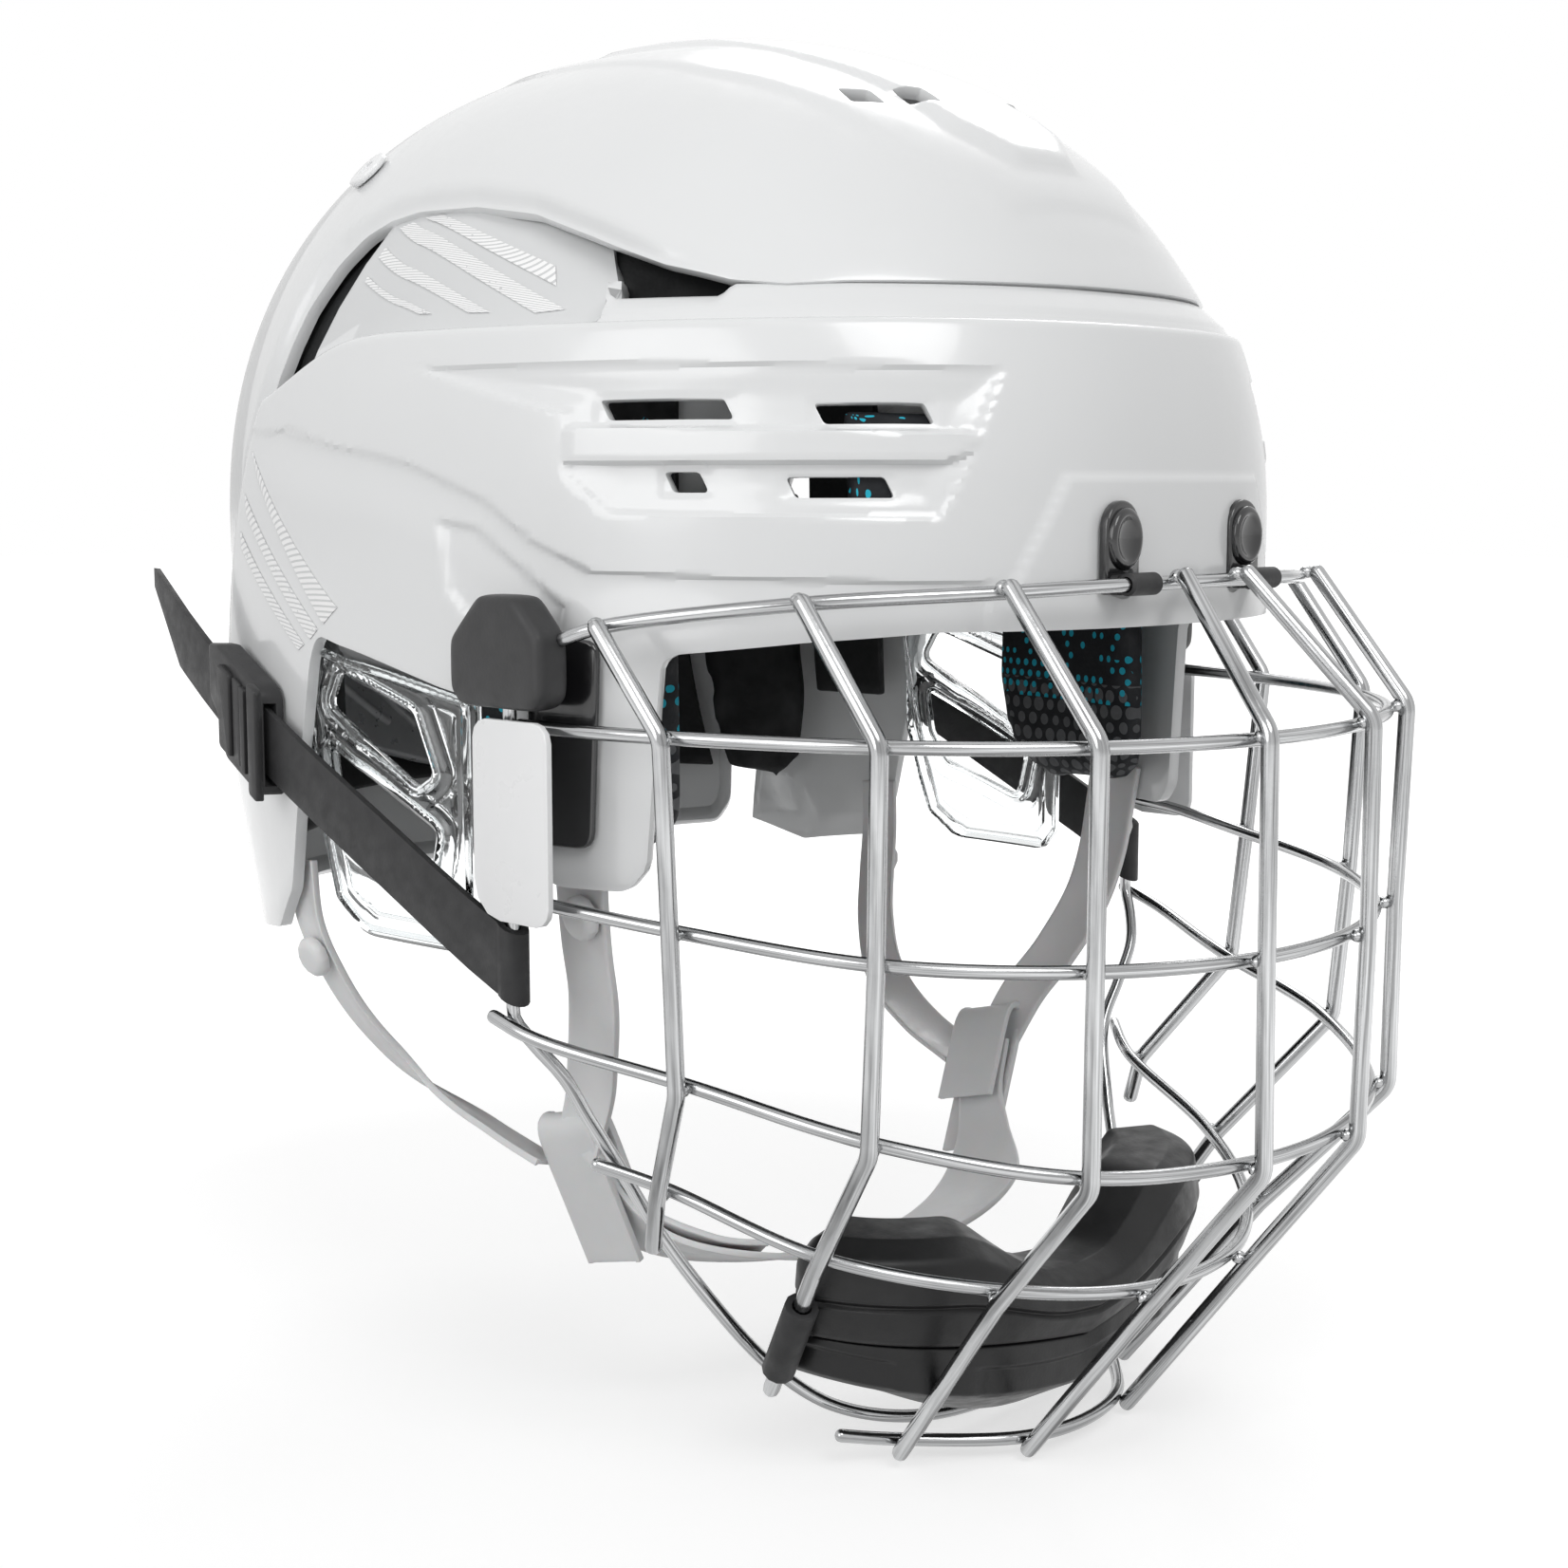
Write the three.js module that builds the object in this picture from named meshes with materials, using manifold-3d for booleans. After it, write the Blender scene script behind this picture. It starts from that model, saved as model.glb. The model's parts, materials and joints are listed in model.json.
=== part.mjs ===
// Ice hockey helmet with a hinged welded-wire face cage.
// Millimetres. +Z is up, the face looks along -Y and the wearer's left is +X.
// The origin is on the plane of symmetry, level with the brow wire, at the shell's widest section.
// Pieces that come in pairs are drawn on the wearer's left and mirrored to the right.

import * as THREE from 'three';
import { mergeVertices } from 'three/addons/utils/BufferGeometryUtils.js';
import Module from 'manifold-3d';

const wasm = await Module();
wasm.setup();

// ---------------------------------------------------------------- driving dimensions

const gap = 0.3; // clearance between neighbouring pieces

const shell = {
  half: 102, // half width of the dome at its widest
  front: 140, // from the widest section to the brow
  back: 121, // from the widest section to the nape
  crown: 121.5, // crown above the brow wire
  base: 10, // height below which the walls stand upright
  plan: 2.3, // superellipse exponent of the outline seen from above
  profile: 2.2, // superellipse exponent of the rise to the crown
  band: 5, // how far the brow band stands proud of the dome
  wall: 3,
  ledge: 51, // top of the brow band
  step: 2.5, // rise of the shelf behind the ledge
  slide: 8, // travel of the rear shell when the helmet is made longer
  slideRoom: 8, // spare room beyond that travel
  napeTuck: 13, // how far the nape turns in
  napeDepth: 60, // height over which it does so
};

const cage = {
  half: shell.half + shell.band,
  rear: -56, // the perimeter wire at the temples
  standoff: 5, // brow wire in front of the brow band
  drop: 190, // brow wire to the lowest wire
  bar: 3.7, // upright bars
  rod: 2.9, // cross rods and the perimeter wire
  bend: 6, // bend radius of the bars
  relief: 0.75, // extra room for a rod in the inside of a bend
};
const browY = -(shell.front + shell.band + cage.standoff);

const browClip = { x: 22, width: 10, height: 20, thickness: 2.2, sleeve: 3.7, screwZ: 8.5, pocket: 2.2 };
const screw = { head: 4.4, dome: 3, shank: 2 };
const bumper = { inner: 104.6, outer: 113.5, front: -72.5, back: -44, top: -2, bottom: -25 };
const label = { width: 23, height: 41, thickness: 1.5, top: -27, radius: 4, centreY: -61.8 };
const templePlate = { front: 63.8, back: 70, top: -12, bottom: -53.5, thickness: 1.7 };
const strap = { width: 15, thickness: 1.6, loopTop: -69.8, rise: 0.48, buckleY: 36 };
const buckle = { length: 24, height: 25, depth: 7.4, slot: 3.2, wall: 2.9, turn: 6 };
const guard = { thickness: 1.9 };
const pad = { thickness: 12, crownThickness: 11, templeThickness: 9, rearThickness: 8 };
const cup = { half: 63.8, centreY: -88, depth: 35, reach: 85, plan: 2.5 };
const webbing = { width: 14, thickness: 1.4 };
const button = { radius: 5, thickness: 3 };

const white = { color: 0xf2f2f0, roughness: 0.25, metalness: 0 };
const steel = { color: 0xc9ccce, roughness: 0.2, metalness: 1 };
const blackRubber = { color: 0x242424, roughness: 0.7, metalness: 0 };
const blackPlastic = { color: 0x1a1a1b, roughness: 0.3, metalness: 0 };
const foam = { color: 0x202122, roughness: 0.9, metalness: 0 };
const clear = { color: 0xdfe6e8, roughness: 0.1, metalness: 0 };
const smoke = { color: 0x9a9c9d, roughness: 0.35, metalness: 0 };
const softWhite = { color: 0xe6e6e4, roughness: 0.6, metalness: 0 };

// ---------------------------------------------------------------- small tools

const model = new THREE.Group();
const vec = (x, y, z) => new THREE.Vector3(x, y, z);
const { degToRad, lerp, smoothstep } = THREE.MathUtils;
const signedPower = (value, power) => Math.sign(value) * Math.abs(value) ** power;

// Value at x of the broken line through the points [x, value].
function along(points, x) {
  const next = points.findIndex((point) => point[0] >= x);
  if (next <= 0) return next === 0 ? points[0][1] : points.at(-1)[1];
  const [a, b] = [points[next - 1], points[next]];
  return lerp(a[1], b[1], (x - a[0]) / (b[0] - a[0]));
}

// The values of a list with more put between them, so that no step is over the given one.
function subdivided(values, step) {
  const result = [values[0]];
  for (let i = 1; i < values.length; i++) {
    const count = Math.ceil(Math.abs(values[i] - values[i - 1]) / step);
    for (let k = 1; k <= count; k++) result.push(lerp(values[i - 1], values[i], k / count));
  }
  return result;
}

function mirrored(geometry) {
  const copy = geometry.index ? geometry.clone() : mergeVertices(bare(geometry), 1e-4);
  copy.scale(-1, 1, 1);
  const index = copy.index.array;
  for (let i = 0; i < index.length; i += 3) [index[i], index[i + 1]] = [index[i + 1], index[i]];
  return copy;
}

function bare(geometry) {
  const copy = geometry.clone();
  copy.deleteAttribute('normal');
  copy.deleteAttribute('uv');
  return copy;
}

function toSolid(geometry) {
  const merged = mergeVertices(bare(geometry), 1e-4);
  const vertProperties = new Float32Array(merged.attributes.position.array);
  const triVerts = new Uint32Array(merged.index.array);
  return new wasm.Manifold(new wasm.Mesh({ numProp: 3, vertProperties, triVerts }));
}

function toGeometry(solid) {
  const mesh = solid.getMesh();
  const geometry = new THREE.BufferGeometry();
  geometry.setAttribute('position', new THREE.BufferAttribute(new Float32Array(mesh.vertProperties), 3));
  geometry.setIndex(new THREE.BufferAttribute(new Uint32Array(mesh.triVerts), 1));
  return geometry;
}

function joined(...geometries) {
  return toGeometry(geometries.map(toSolid).reduce((a, b) => a.add(b)));
}

function cut(geometry, ...tools) {
  return toGeometry(tools.map(toSolid).reduce((a, b) => a.subtract(b), toSolid(geometry)));
}

// A closed body from triangles of points: equal points are shared and empty triangles left out.
function body(triangles) {
  const keys = new Map();
  const positions = [];
  const index = [];
  const idOf = (point) => {
    const key = [point.x, point.y, point.z].map((v) => Math.round(v * 1e4)).join(' ');
    if (!keys.has(key)) {
      keys.set(key, positions.length / 3);
      positions.push(point.x, point.y, point.z);
    }
    return keys.get(key);
  };
  let volume = 0;
  for (const [a, b, c] of triangles) {
    const ids = [idOf(a), idOf(b), idOf(c)];
    if (new Set(ids).size < 3) continue;
    index.push(...ids);
    volume += a.dot(b.clone().cross(c));
  }
  if (volume < 0) index.reverse();
  const geometry = new THREE.BufferGeometry();
  geometry.setAttribute('position', new THREE.Float32BufferAttribute(positions, 3));
  geometry.setIndex(index);
  return geometry;
}

const quad = (a, b, c, d) => [[a, b, c], [a, c, d]];

// A wall between two grids of points. A ring of columns closes on itself, a sheet gets side walls.
function wall(outer, inner, ring = false) {
  const columns = outer.length;
  const rows = outer[0].length;
  const triangles = [];
  for (let i = 0; i < (ring ? columns : columns - 1); i++) {
    const [p, q] = [outer[i], outer[(i + 1) % columns]];
    const [r, s] = [inner[i], inner[(i + 1) % columns]];
    for (let j = 0; j < rows - 1; j++) {
      triangles.push(...quad(p[j], q[j], q[j + 1], p[j + 1]));
      triangles.push(...quad(r[j], r[j + 1], s[j + 1], s[j]));
    }
    triangles.push(...quad(p[0], r[0], s[0], q[0]));
    triangles.push(...quad(p[rows - 1], q[rows - 1], s[rows - 1], r[rows - 1]));
  }
  if (!ring) {
    for (let j = 0; j < rows - 1; j++) {
      triangles.push(...quad(outer[0][j], outer[0][j + 1], inner[0][j + 1], inner[0][j]));
      const [p, r] = [outer[columns - 1], inner[columns - 1]];
      triangles.push(...quad(p[j], r[j], r[j + 1], p[j + 1]));
    }
  }
  return body(triangles);
}

// A body through closed rings of points, with a fan over each end.
function loft(rings) {
  const count = rings[0].length;
  const triangles = [];
  for (let i = 0; i < rings.length - 1; i++) {
    for (let k = 0; k < count; k++) {
      const next = (k + 1) % count;
      triangles.push(...quad(rings[i][k], rings[i][next], rings[i + 1][next], rings[i + 1][k]));
    }
  }
  const middle = (ring) => ring.reduce((sum, point) => sum.add(point), vec(0, 0, 0)).divideScalar(count);
  const first = middle(rings[0]);
  const last = middle(rings.at(-1));
  for (let k = 0; k < count; k++) {
    const next = (k + 1) % count;
    triangles.push([rings[0][next], rings[0][k], first]);
    triangles.push([rings.at(-1)[k], rings.at(-1)[next], last]);
  }
  return body(triangles);
}

function polygon(radius, sides) {
  const corner = (i) => (2 * Math.PI * (i + 0.5)) / sides;
  const points = Array.from({ length: sides }, (_, i) =>
    new THREE.Vector2(radius * Math.cos(corner(i)), radius * Math.sin(corner(i))));
  return new THREE.Shape(points);
}

function tube(path, diameter, step, sides = 6) {
  const steps = Math.ceil(path.getLength() / step);
  const options = { steps, extrudePath: path, bevelEnabled: false };
  return new THREE.ExtrudeGeometry(polygon(diameter / 2, sides), options);
}

// A turned body from its [radius, height] profile, which starts and ends on the axis.
function turned(profile, sides) {
  const lathe = new THREE.LatheGeometry(profile.map(([r, h]) => new THREE.Vector2(r, h)), sides);
  const merged = mergeVertices(bare(lathe), 1e-4);
  const corner = (i) => new THREE.Vector3().fromBufferAttribute(merged.attributes.position, merged.index.array[i]);
  const triangles = [];
  for (let i = 0; i < merged.index.count; i += 3) triangles.push([corner(i), corner(i + 1), corner(i + 2)]);
  return body(triangles);
}

const smooth = (points) => new THREE.CatmullRomCurve3(points, false, 'centripetal');

// Straight runs with rounded corners.
function bent(points, radius) {
  const path = new THREE.CurvePath();
  let from = points[0];
  for (let i = 1; i < points.length - 1; i++) {
    const before = points[i - 1].clone().sub(points[i]);
    const after = points[i + 1].clone().sub(points[i]);
    const turn = Math.PI - before.angleTo(after);
    const length = Math.min(radius * Math.tan(turn / 2), before.length() / 2, after.length() / 2);
    const start = points[i].clone().add(before.setLength(length));
    const end = points[i].clone().add(after.setLength(length));
    path.add(new THREE.LineCurve3(from, start));
    path.add(new THREE.QuadraticBezierCurve3(start, points[i], end));
    from = end;
  }
  path.add(new THREE.LineCurve3(from, points.at(-1)));
  return path;
}

function block(x0, x1, y0, y1, z0, z1) {
  const box = new THREE.BoxGeometry(x1 - x0, y1 - y0, z1 - z0);
  return box.translate((x0 + x1) / 2, (y0 + y1) / 2, (z0 + z1) / 2);
}

// An outline in the YZ plane, given as [y, z], carried from x0 to x1.
function sidePlate(outline, x0, x1) {
  const shape = new THREE.Shape(outline.map(([y, z]) => new THREE.Vector2(y, z)));
  const plate = new THREE.ExtrudeGeometry(shape, { depth: x1 - x0, bevelEnabled: false });
  const toSide = new THREE.Matrix4().makeBasis(vec(0, 1, 0), vec(0, 0, 1), vec(1, 0, 0));
  return plate.applyMatrix4(toSide).translate(x0, 0, 0);
}

function roundedOutline(y0, y1, z0, z1, radii, steps = 3) {
  const corners = [[y1, z1, 0], [y0, z1, 90], [y0, z0, 180], [y1, z0, 270]];
  return corners.flatMap(([y, z, start], i) => {
    const cy = y - Math.sign(y - (y0 + y1) / 2) * radii[i];
    const cz = z - Math.sign(z - (z0 + z1) / 2) * radii[i];
    return Array.from({ length: steps + 1 }, (_, k) => {
      const angle = degToRad(start + (90 * k) / steps);
      return [cy + radii[i] * Math.cos(angle), cz + radii[i] * Math.sin(angle)];
    });
  });
}

function rod(axis, radius, from, to, sides = 16) {
  const cylinder = new THREE.CylinderGeometry(radius, radius, to - from, sides);
  if (axis === 'x') cylinder.rotateZ(Math.PI / 2);
  if (axis === 'z') cylinder.rotateX(Math.PI / 2);
  const middle = (from + to) / 2;
  return cylinder.translate(axis === 'x' ? middle : 0, axis === 'y' ? middle : 0, axis === 'z' ? middle : 0);
}

function add(name, geometry, finish) {
  const mesh = new THREE.Mesh(geometry, new THREE.MeshStandardMaterial(finish));
  mesh.name = name;
  model.add(mesh);
}

function addPair(name, geometry, finish) {
  add(`${name}_left`, geometry, finish);
  add(`${name}_right`, mirrored(geometry), finish);
}

// ---------------------------------------------------------------- the helmet's skin

// The skin is described by a bearing in degrees from the front and a station up the wall:
// millimetres below the base while it is negative, degrees of arc towards the crown above it.
function stationOf(z) {
  if (z <= shell.base) return z - shell.base;
  const rise = Math.min((z - shell.base) / (shell.crown - shell.base), 1);
  return (Math.asin(rise ** (shell.profile / 2)) * 180) / Math.PI;
}

function skinPoint(bearing, station) {
  const arc = degToRad(Math.max(station, 0));
  const narrowing = Math.cos(arc) ** (2 / shell.profile);
  const rise = (shell.crown - shell.base) * Math.sin(arc) ** (2 / shell.profile);
  const [s, c] = [Math.sin(degToRad(bearing)), Math.cos(degToRad(bearing))];
  const length = c > 0 ? shell.front : shell.back;
  const below = Math.min(station, 0) / shell.napeDepth;
  const tuck = c < 0 ? shell.napeTuck * -c * below * below : 0;
  const x = shell.half * narrowing * signedPower(s, 2 / shell.plan);
  const y = -length * narrowing * signedPower(c, 2 / shell.plan);
  return vec(x, y - tuck, shell.base + rise + Math.min(station, 0));
}

function skinNormal(bearing, station) {
  if (station > 89) return vec(0, 0, 1);
  const across = skinPoint(bearing + 0.5, station).sub(skinPoint(bearing - 0.5, station));
  const up = skinPoint(bearing, station + 0.5).sub(skinPoint(bearing, station - 0.5));
  return across.cross(up).normalize();
}

// The point that lies off millimetres outside the skin.
function offSkin(bearing, z, off) {
  const station = stationOf(z);
  return skinPoint(bearing, station).addScaledVector(skinNormal(bearing, station), off);
}

// A closed pad or plate between two distances from the skin; its ends in height follow the bearing.
function skinPatch(bearings, bottom, top, rows, outerOff, innerOff) {
  const grid = (off) => bearings.map((bearing) =>
    Array.from({ length: rows + 1 }, (_, j) =>
      offSkin(bearing, lerp(bottom(bearing), top(bearing), j / rows), off)));
  return wall(grid(outerOff), grid(innerOff));
}

// ---------------------------------------------------------------- front shell

// Lower edge of the front shell: brow, temple tab, ear arch, and the lobe behind the ear.
const rimLine = [[0, -9], [29, -9], [43, -11], [57, -14], [58.5, -57], [60.5, -62], [68, -62],
  [70, -57], [72, -26], [77, -24], [98.6, -13], [99.6, -20], [100.3, -50], [101.5, -72], [106, -82],
  [118, -84], [128, -78]];
// Lower edge of the rear shell: over the brow, up behind the side vent, then down beside the nape.
const domeLine = [[0, 60], [51, 60], [68, 67], [84, 79], [97, 80], [103, 66], [131, -74],
  [135, -80], [180, -84]];
// Upper edge of the front shell: level under the brow of the dome, low at the side vent, then a
// flange that rises inside the dome.
const topLine = [[0, 59.4], [50, 59.4], [51.5, 57], [63.5, 57], [65, 68], [84, 84], [128, 86]];
const rearEdge = { bearing: 98, z: 71, slope: 0.2 }; // where the front shell ends, leaning back

function frontBearing(column, z) {
  const pivot = 80;
  if (column <= pivot) return column;
  const end = rearEdge.bearing + (rearEdge.z - z) * rearEdge.slope;
  return pivot + ((column - pivot) * (end - pivot)) / (rimLine.at(-1)[0] - pivot);
}

// The flange behind the ledge lies deep enough for the rear shell to slide back over it.
function flangeOff(bearing) {
  const forward = Math.max(-skinNormal(bearing, stationOf(shell.ledge)).y, 0);
  return -(shell.wall + 2 * gap + (shell.slide + shell.slideRoom) * forward);
}

function frontColumn(column, bodyRows = 5, upperRows = 2) {
  const side = Math.sign(column);
  const angle = Math.abs(column);
  const place = (z, off) => offSkin(side * frontBearing(angle, z), z, off);
  const low = along(rimLine, angle);
  const flanged = angle > 64;
  const flange = flangeOff(frontBearing(angle, shell.ledge));
  const top = along(topLine, angle);
  const outer = [];
  const inner = [];
  for (let i = 0; i <= bodyRows; i++) {
    const z = lerp(low, shell.ledge, i / bodyRows);
    const lowered = i === bodyRows ? shell.wall * 0.6 : 0;
    outer.push(place(z, shell.band));
    inner.push(place(z - lowered, shell.band - shell.wall));
  }
  for (let i = 0; i <= upperRows; i++) {
    const z = lerp(shell.ledge + shell.step, top, i / upperRows);
    const off = flanged ? flange : lerp(shell.band - 1, -gap, i / upperRows);
    const lowered = i === 0 ? shell.wall * 0.8 : 0;
    outer.push(place(z, off));
    inner.push(place(z - lowered, off - shell.wall));
  }
  return { outer, inner };
}

// Vent slots through the brow band: [bearing from, bearing to, bottom, top].
const slots = [[50, 63.5, 32, 36], [29.5, 42, 31, 35], [52.5, 57, 18, 22], [34, 45, 17, 21]];

function slotTool([from, to, bottom, top]) {
  return skinPatch([from, (from + to) / 2, to], () => bottom, () => top, 1, shell.band + 4, -6);
}

function frontShell() {
  const half = subdivided([...rimLine.map((point) => point[0]), 64, 65].sort((a, b) => a - b), 8);
  const columns = [...half.slice(1).reverse().map((angle) => -angle), ...half].map((c) => frontColumn(c));
  const plain = wall(columns.map((c) => c.outer), columns.map((c) => c.inner));
  const tools = slots.map(slotTool);
  for (const side of [-1, 1]) {
    const hole = rod('y', screw.shank + gap, browY, browY / 2);
    tools.push(hole.translate(side * browClip.x, 0, browClip.screwZ));
    const reach = browClip.width / 2 + 2 * gap;
    const depth = -(shell.front + shell.band) + browClip.pocket + gap;
    const pocket = block(-reach, reach, browY, depth, -browClip.height, browClip.screwZ + browClip.width);
    tools.push(pocket.translate(side * browClip.x, 0, 0));
  }
  return cut(plain, ...tools, ...slots.map((slot) => mirrored(slotTool(slot))));
}

// ---------------------------------------------------------------- rear shell

const crownVents = [[10, 17, 98, 103], [22, 28, 98, 103]]; // like the slots
const domeScrew = { bearing: 112, z: 92, radius: 5.5, height: 1.6 };

function rearShell() {
  const half = subdivided(domeLine.map((point) => point[0]), 10);
  const bearings = [...half, ...half.slice(1, -1).reverse().map((angle) => -angle)];
  const rows = 14;
  const grid = (off) => bearings.map((bearing) => {
    const low = stationOf(along(domeLine, Math.abs(bearing)));
    return Array.from({ length: rows + 1 }, (_, j) => {
      const station = lerp(low, 90, j / rows);
      return skinPoint(bearing, station).addScaledVector(skinNormal(bearing, station), off);
    });
  });
  const plain = wall(grid(0), grid(-shell.wall), true);
  const ventTool = ([from, to, bottom, top]) =>
    skinPatch([from, (from + to) / 2, to], () => bottom, () => top, 1, 4, -8);
  const tools = crownVents.map(ventTool);
  return cut(plain, ...tools, ...tools.map(mirrored));
}

function domeScrewHead() {
  const station = stationOf(domeScrew.z);
  const normal = skinNormal(domeScrew.bearing, station);
  const { radius, height } = domeScrew;
  const outline = [[0, 0], [radius, 0], [radius, height / 2], [radius * 0.6, height], [0, height]];
  const head = turned(outline, 12);
  head.applyQuaternion(new THREE.Quaternion().setFromUnitVectors(vec(0, 1, 0), normal));
  const seat = offSkin(domeScrew.bearing, domeScrew.z, gap);
  return head.translate(seat.x, seat.y, seat.z);
}

// ---------------------------------------------------------------- padding and ear guards

const padSeat = 0.9; // between the padding and the shell it is fixed to
const padOuter = shell.band - shell.wall - padSeat;
const domePadOuter = -shell.wall - 2 * padSeat;
const rearPadOuter = -6.4; // clear of the nape where it turns in
const templePadOuter = -4.6; // leaves the front strap its place between the pad and the temple tab
const constant = (value) => () => value;

function padding() {
  const brow = subdivided([-40, 40], 8);
  add('forehead_pad', skinPatch(brow, constant(-11), constant(36), 3, padOuter, padOuter - pad.thickness), foam);
  const temple = [57, 59, 61, 65, 69, 71.5, 74, 79, 82];
  const templeLow = (bearing) => along([[57, -49], [61, -57.5], [74, -60], [79, -54], [82, -38]], bearing);
  const templeTop = (bearing) => along([[57, 36], [69, 36], [71.5, -7], [82, -7]], bearing);
  addPair('temple_pad', skinPatch(temple, templeLow, templeTop, 4, templePadOuter,
    templePadOuter - pad.templeThickness), foam);
  const side = subdivided([72, 97], 6);
  addPair('side_pad', skinPatch(side, constant(-4), constant(40), 2, padOuter, padOuter - pad.thickness), foam);
  const rear = [110, 113, 119, 125, 131];
  const rearLow = (bearing) => along([[110, -40], [113, -60], [119, -68], [131, -66]], bearing);
  addPair('rear_pad', skinPatch(rear, rearLow, constant(20), 4, rearPadOuter,
    rearPadOuter - pad.rearThickness), foam);
  const crown = subdivided([-180, 180], 30).slice(0, -1);
  const crownGrid = (off) => crown.map((bearing) => [66, 74, 82, 90].map((station) =>
    skinPoint(bearing, station).addScaledVector(skinNormal(bearing, station), off)));
  add('crown_pad', wall(crownGrid(domePadOuter), crownGrid(domePadOuter - pad.crownThickness), true), foam);
}

// The cradle holds the back of the head; its lock slides in the nape of the rear shell.
const cradle = { half: 34, top: -6, bottom: -66, thickness: 3, clear: 9, lockHalf: 9 };

function occipitalFit() {
  const bearings = subdivided([180 - cradle.half, 180 + cradle.half], 8.5);
  const outer = -shell.wall - cradle.clear;
  const low = (bearing) => lerp(cradle.bottom, cradle.bottom + 18, Math.abs(bearing - 180) / cradle.half);
  const sheet = skinPatch(bearings, low, constant(cradle.top), 3, outer, outer - cradle.thickness);
  add('occipital_cradle', sheet, smoke);
  const lock = [180 - cradle.lockHalf, 180, 180 + cradle.lockHalf];
  add('occipital_lock', skinPatch(lock, constant(-50), constant(-30), 2, -shell.wall - gap,
    outer + gap), blackPlastic);
}

// Windows of the ear guard as [y, z] outlines.
const earWindows = [
  [[7, -21], [-19, -29], [-25, -42], [-20, -45], [12, -29]],
  [[11, -38], [-26, -54], [-23, -66], [3, -58], [9, -50]],
];

function earGuard() {
  const low = (bearing) => along([[77, -75], [79, -80], [90, -80], [94, -73], [97, -57]], bearing);
  const outer = shell.band - shell.wall - 2 * gap;
  const bearings = subdivided([77, 79, 90, 94, 97], 4);
  const top = (bearing) => bearing - 103;
  const plate = skinPatch(bearings, low, top, 3, outer, outer - guard.thickness);
  const x = shell.half;
  return cut(plate, ...earWindows.map((window) => sidePlate(window, x - 15, x + 15)));
}

// ---------------------------------------------------------------- cage

// Where the upright bars cross the rods: [sideways, forward of the temples, down from the brow],
// drawn for a cage of this size and stretched to the real one. Columns run from the middle out.
const drawn = { half: 107, depth: 94, drop: 190 };
const crossings = {
  brow: [[10.6, 94, 0], [54, 84, 1], [84, 59, 3], [104, 24, 8]],
  eye: [[19.3, 122, 28.5], [56, 109, 28.5], [85.6, 81, 28.5], [104, 42, 28.5]],
  nose: [[19, 122.2, 73.3], [55, 108, 72.6], [84.4, 79.5, 71.1], [100.4, 40.5, 67.7]],
  mouth: [[17.6, 122, 115.8], [55, 107.9, 113.9], [83.1, 77, 107.4], [97.3, 39, 99.8]],
  jaw: [[18, 96, 148.7], [48, 80, 145.2], [72, 52.5, 138.7], [85, 20, 128]],
  base: [[18, 64, 190], [40, 47, 189], [64, 32, 172], [84, 17, 140]],
};
const levelNames = Object.keys(crossings);

function place([x, forward, down]) {
  const depth = cage.rear - browY;
  return vec((x * cage.half) / drawn.half, cage.rear - (forward * depth) / drawn.depth,
    (-down * cage.drop) / drawn.drop);
}

// Unit vector out of the cage at a crossing.
function outwards(level, column) {
  const row = crossings[levelNames[level]].map(place);
  const before = column === 0 ? row[0].clone().multiply(vec(-1, 1, 1)) : row[column - 1];
  const after = row[Math.min(column + 1, 3)];
  const above = place(crossings[levelNames[Math.max(level - 1, 0)]][column]);
  const below = place(crossings[levelNames[Math.min(level + 1, 5)]][column]);
  const sideways = after.clone().sub(before);
  return below.sub(above).cross(sideways).normalize();
}

// Rods lie inside the bars; the brow wire keeps its own line.
const spacing = (cage.bar + cage.rod) / 2 + gap;
const rodInset = (level) => (level === 0 ? 0 : (spacing + cage.relief) * 0.66);
const barOutset = (level) => (level === 0 ? spacing : (spacing + cage.relief) * 0.34);

function shifted(level, column, distance) {
  return place(crossings[levelNames[level]][column]).addScaledVector(outwards(level, column), distance);
}

function uprightBar(column) {
  const points = levelNames.map((_, level) => shifted(level, column, barOutset(level)));
  return tube(bent(points, cage.bend), cage.bar, 8);
}

// The middle and the far end of each rod: [sideways, forward, down], on the same drawing.
const rodEnds = {
  brow: { middle: [[28.5, 94, 0], [32, 94, 0]], end: [[107, 15, 11]] },
  eye: { middle: [], end: [[107, 18, 28.5], [107, 2.2, 28.5]] },
  nose: { middle: [], end: [[105, 16, 65], [106.8, 2.2, 64]] },
  mouth: { middle: [], end: [[108.6, 8, 92], [110.2, -4, 88.5]] },
  jaw: { middle: [], end: [[92.5, 7, 121.5]] },
};

function crossRod(name) {
  const level = levelNames.indexOf(name);
  const inner = [0, 1, 2, 3].map((column) => shifted(level, column, -rodInset(level)));
  if (name === 'brow') {
    inner[0] = vec(inner[0].x, browY, 0);
    inner.splice(1, 0, ...rodEnds.brow.middle.map(place));
  }
  const half = [...inner, ...rodEnds[name].end.map(place)];
  const other = half.map((point) => point.clone().multiply(vec(-1, 1, 1))).reverse();
  return smooth([...other, ...half]);
}

// Half of the perimeter wire from the temple down to the chin.
const perimeterLine = [[107, 0, 10], [107, 0, 50], [107, 0, 84], [107, 0, 89], [104.6, 3.3, 94.5],
  [100, 7, 101.5], [94, 7.5, 111], [87, 8, 121.5], [80, 14.5, 138], [72, 23, 154], [61, 28.5, 168.5],
  [48, 34.5, 179.5], [29, 41, 186], [0, 43.5, 188.5]];

function perimeterPath() {
  const half = perimeterLine.map(place);
  const other = half.slice(0, -1).map((point) => point.clone().multiply(vec(-1, 1, 1)));
  return smooth([...other, ...half.reverse()]);
}

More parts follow.
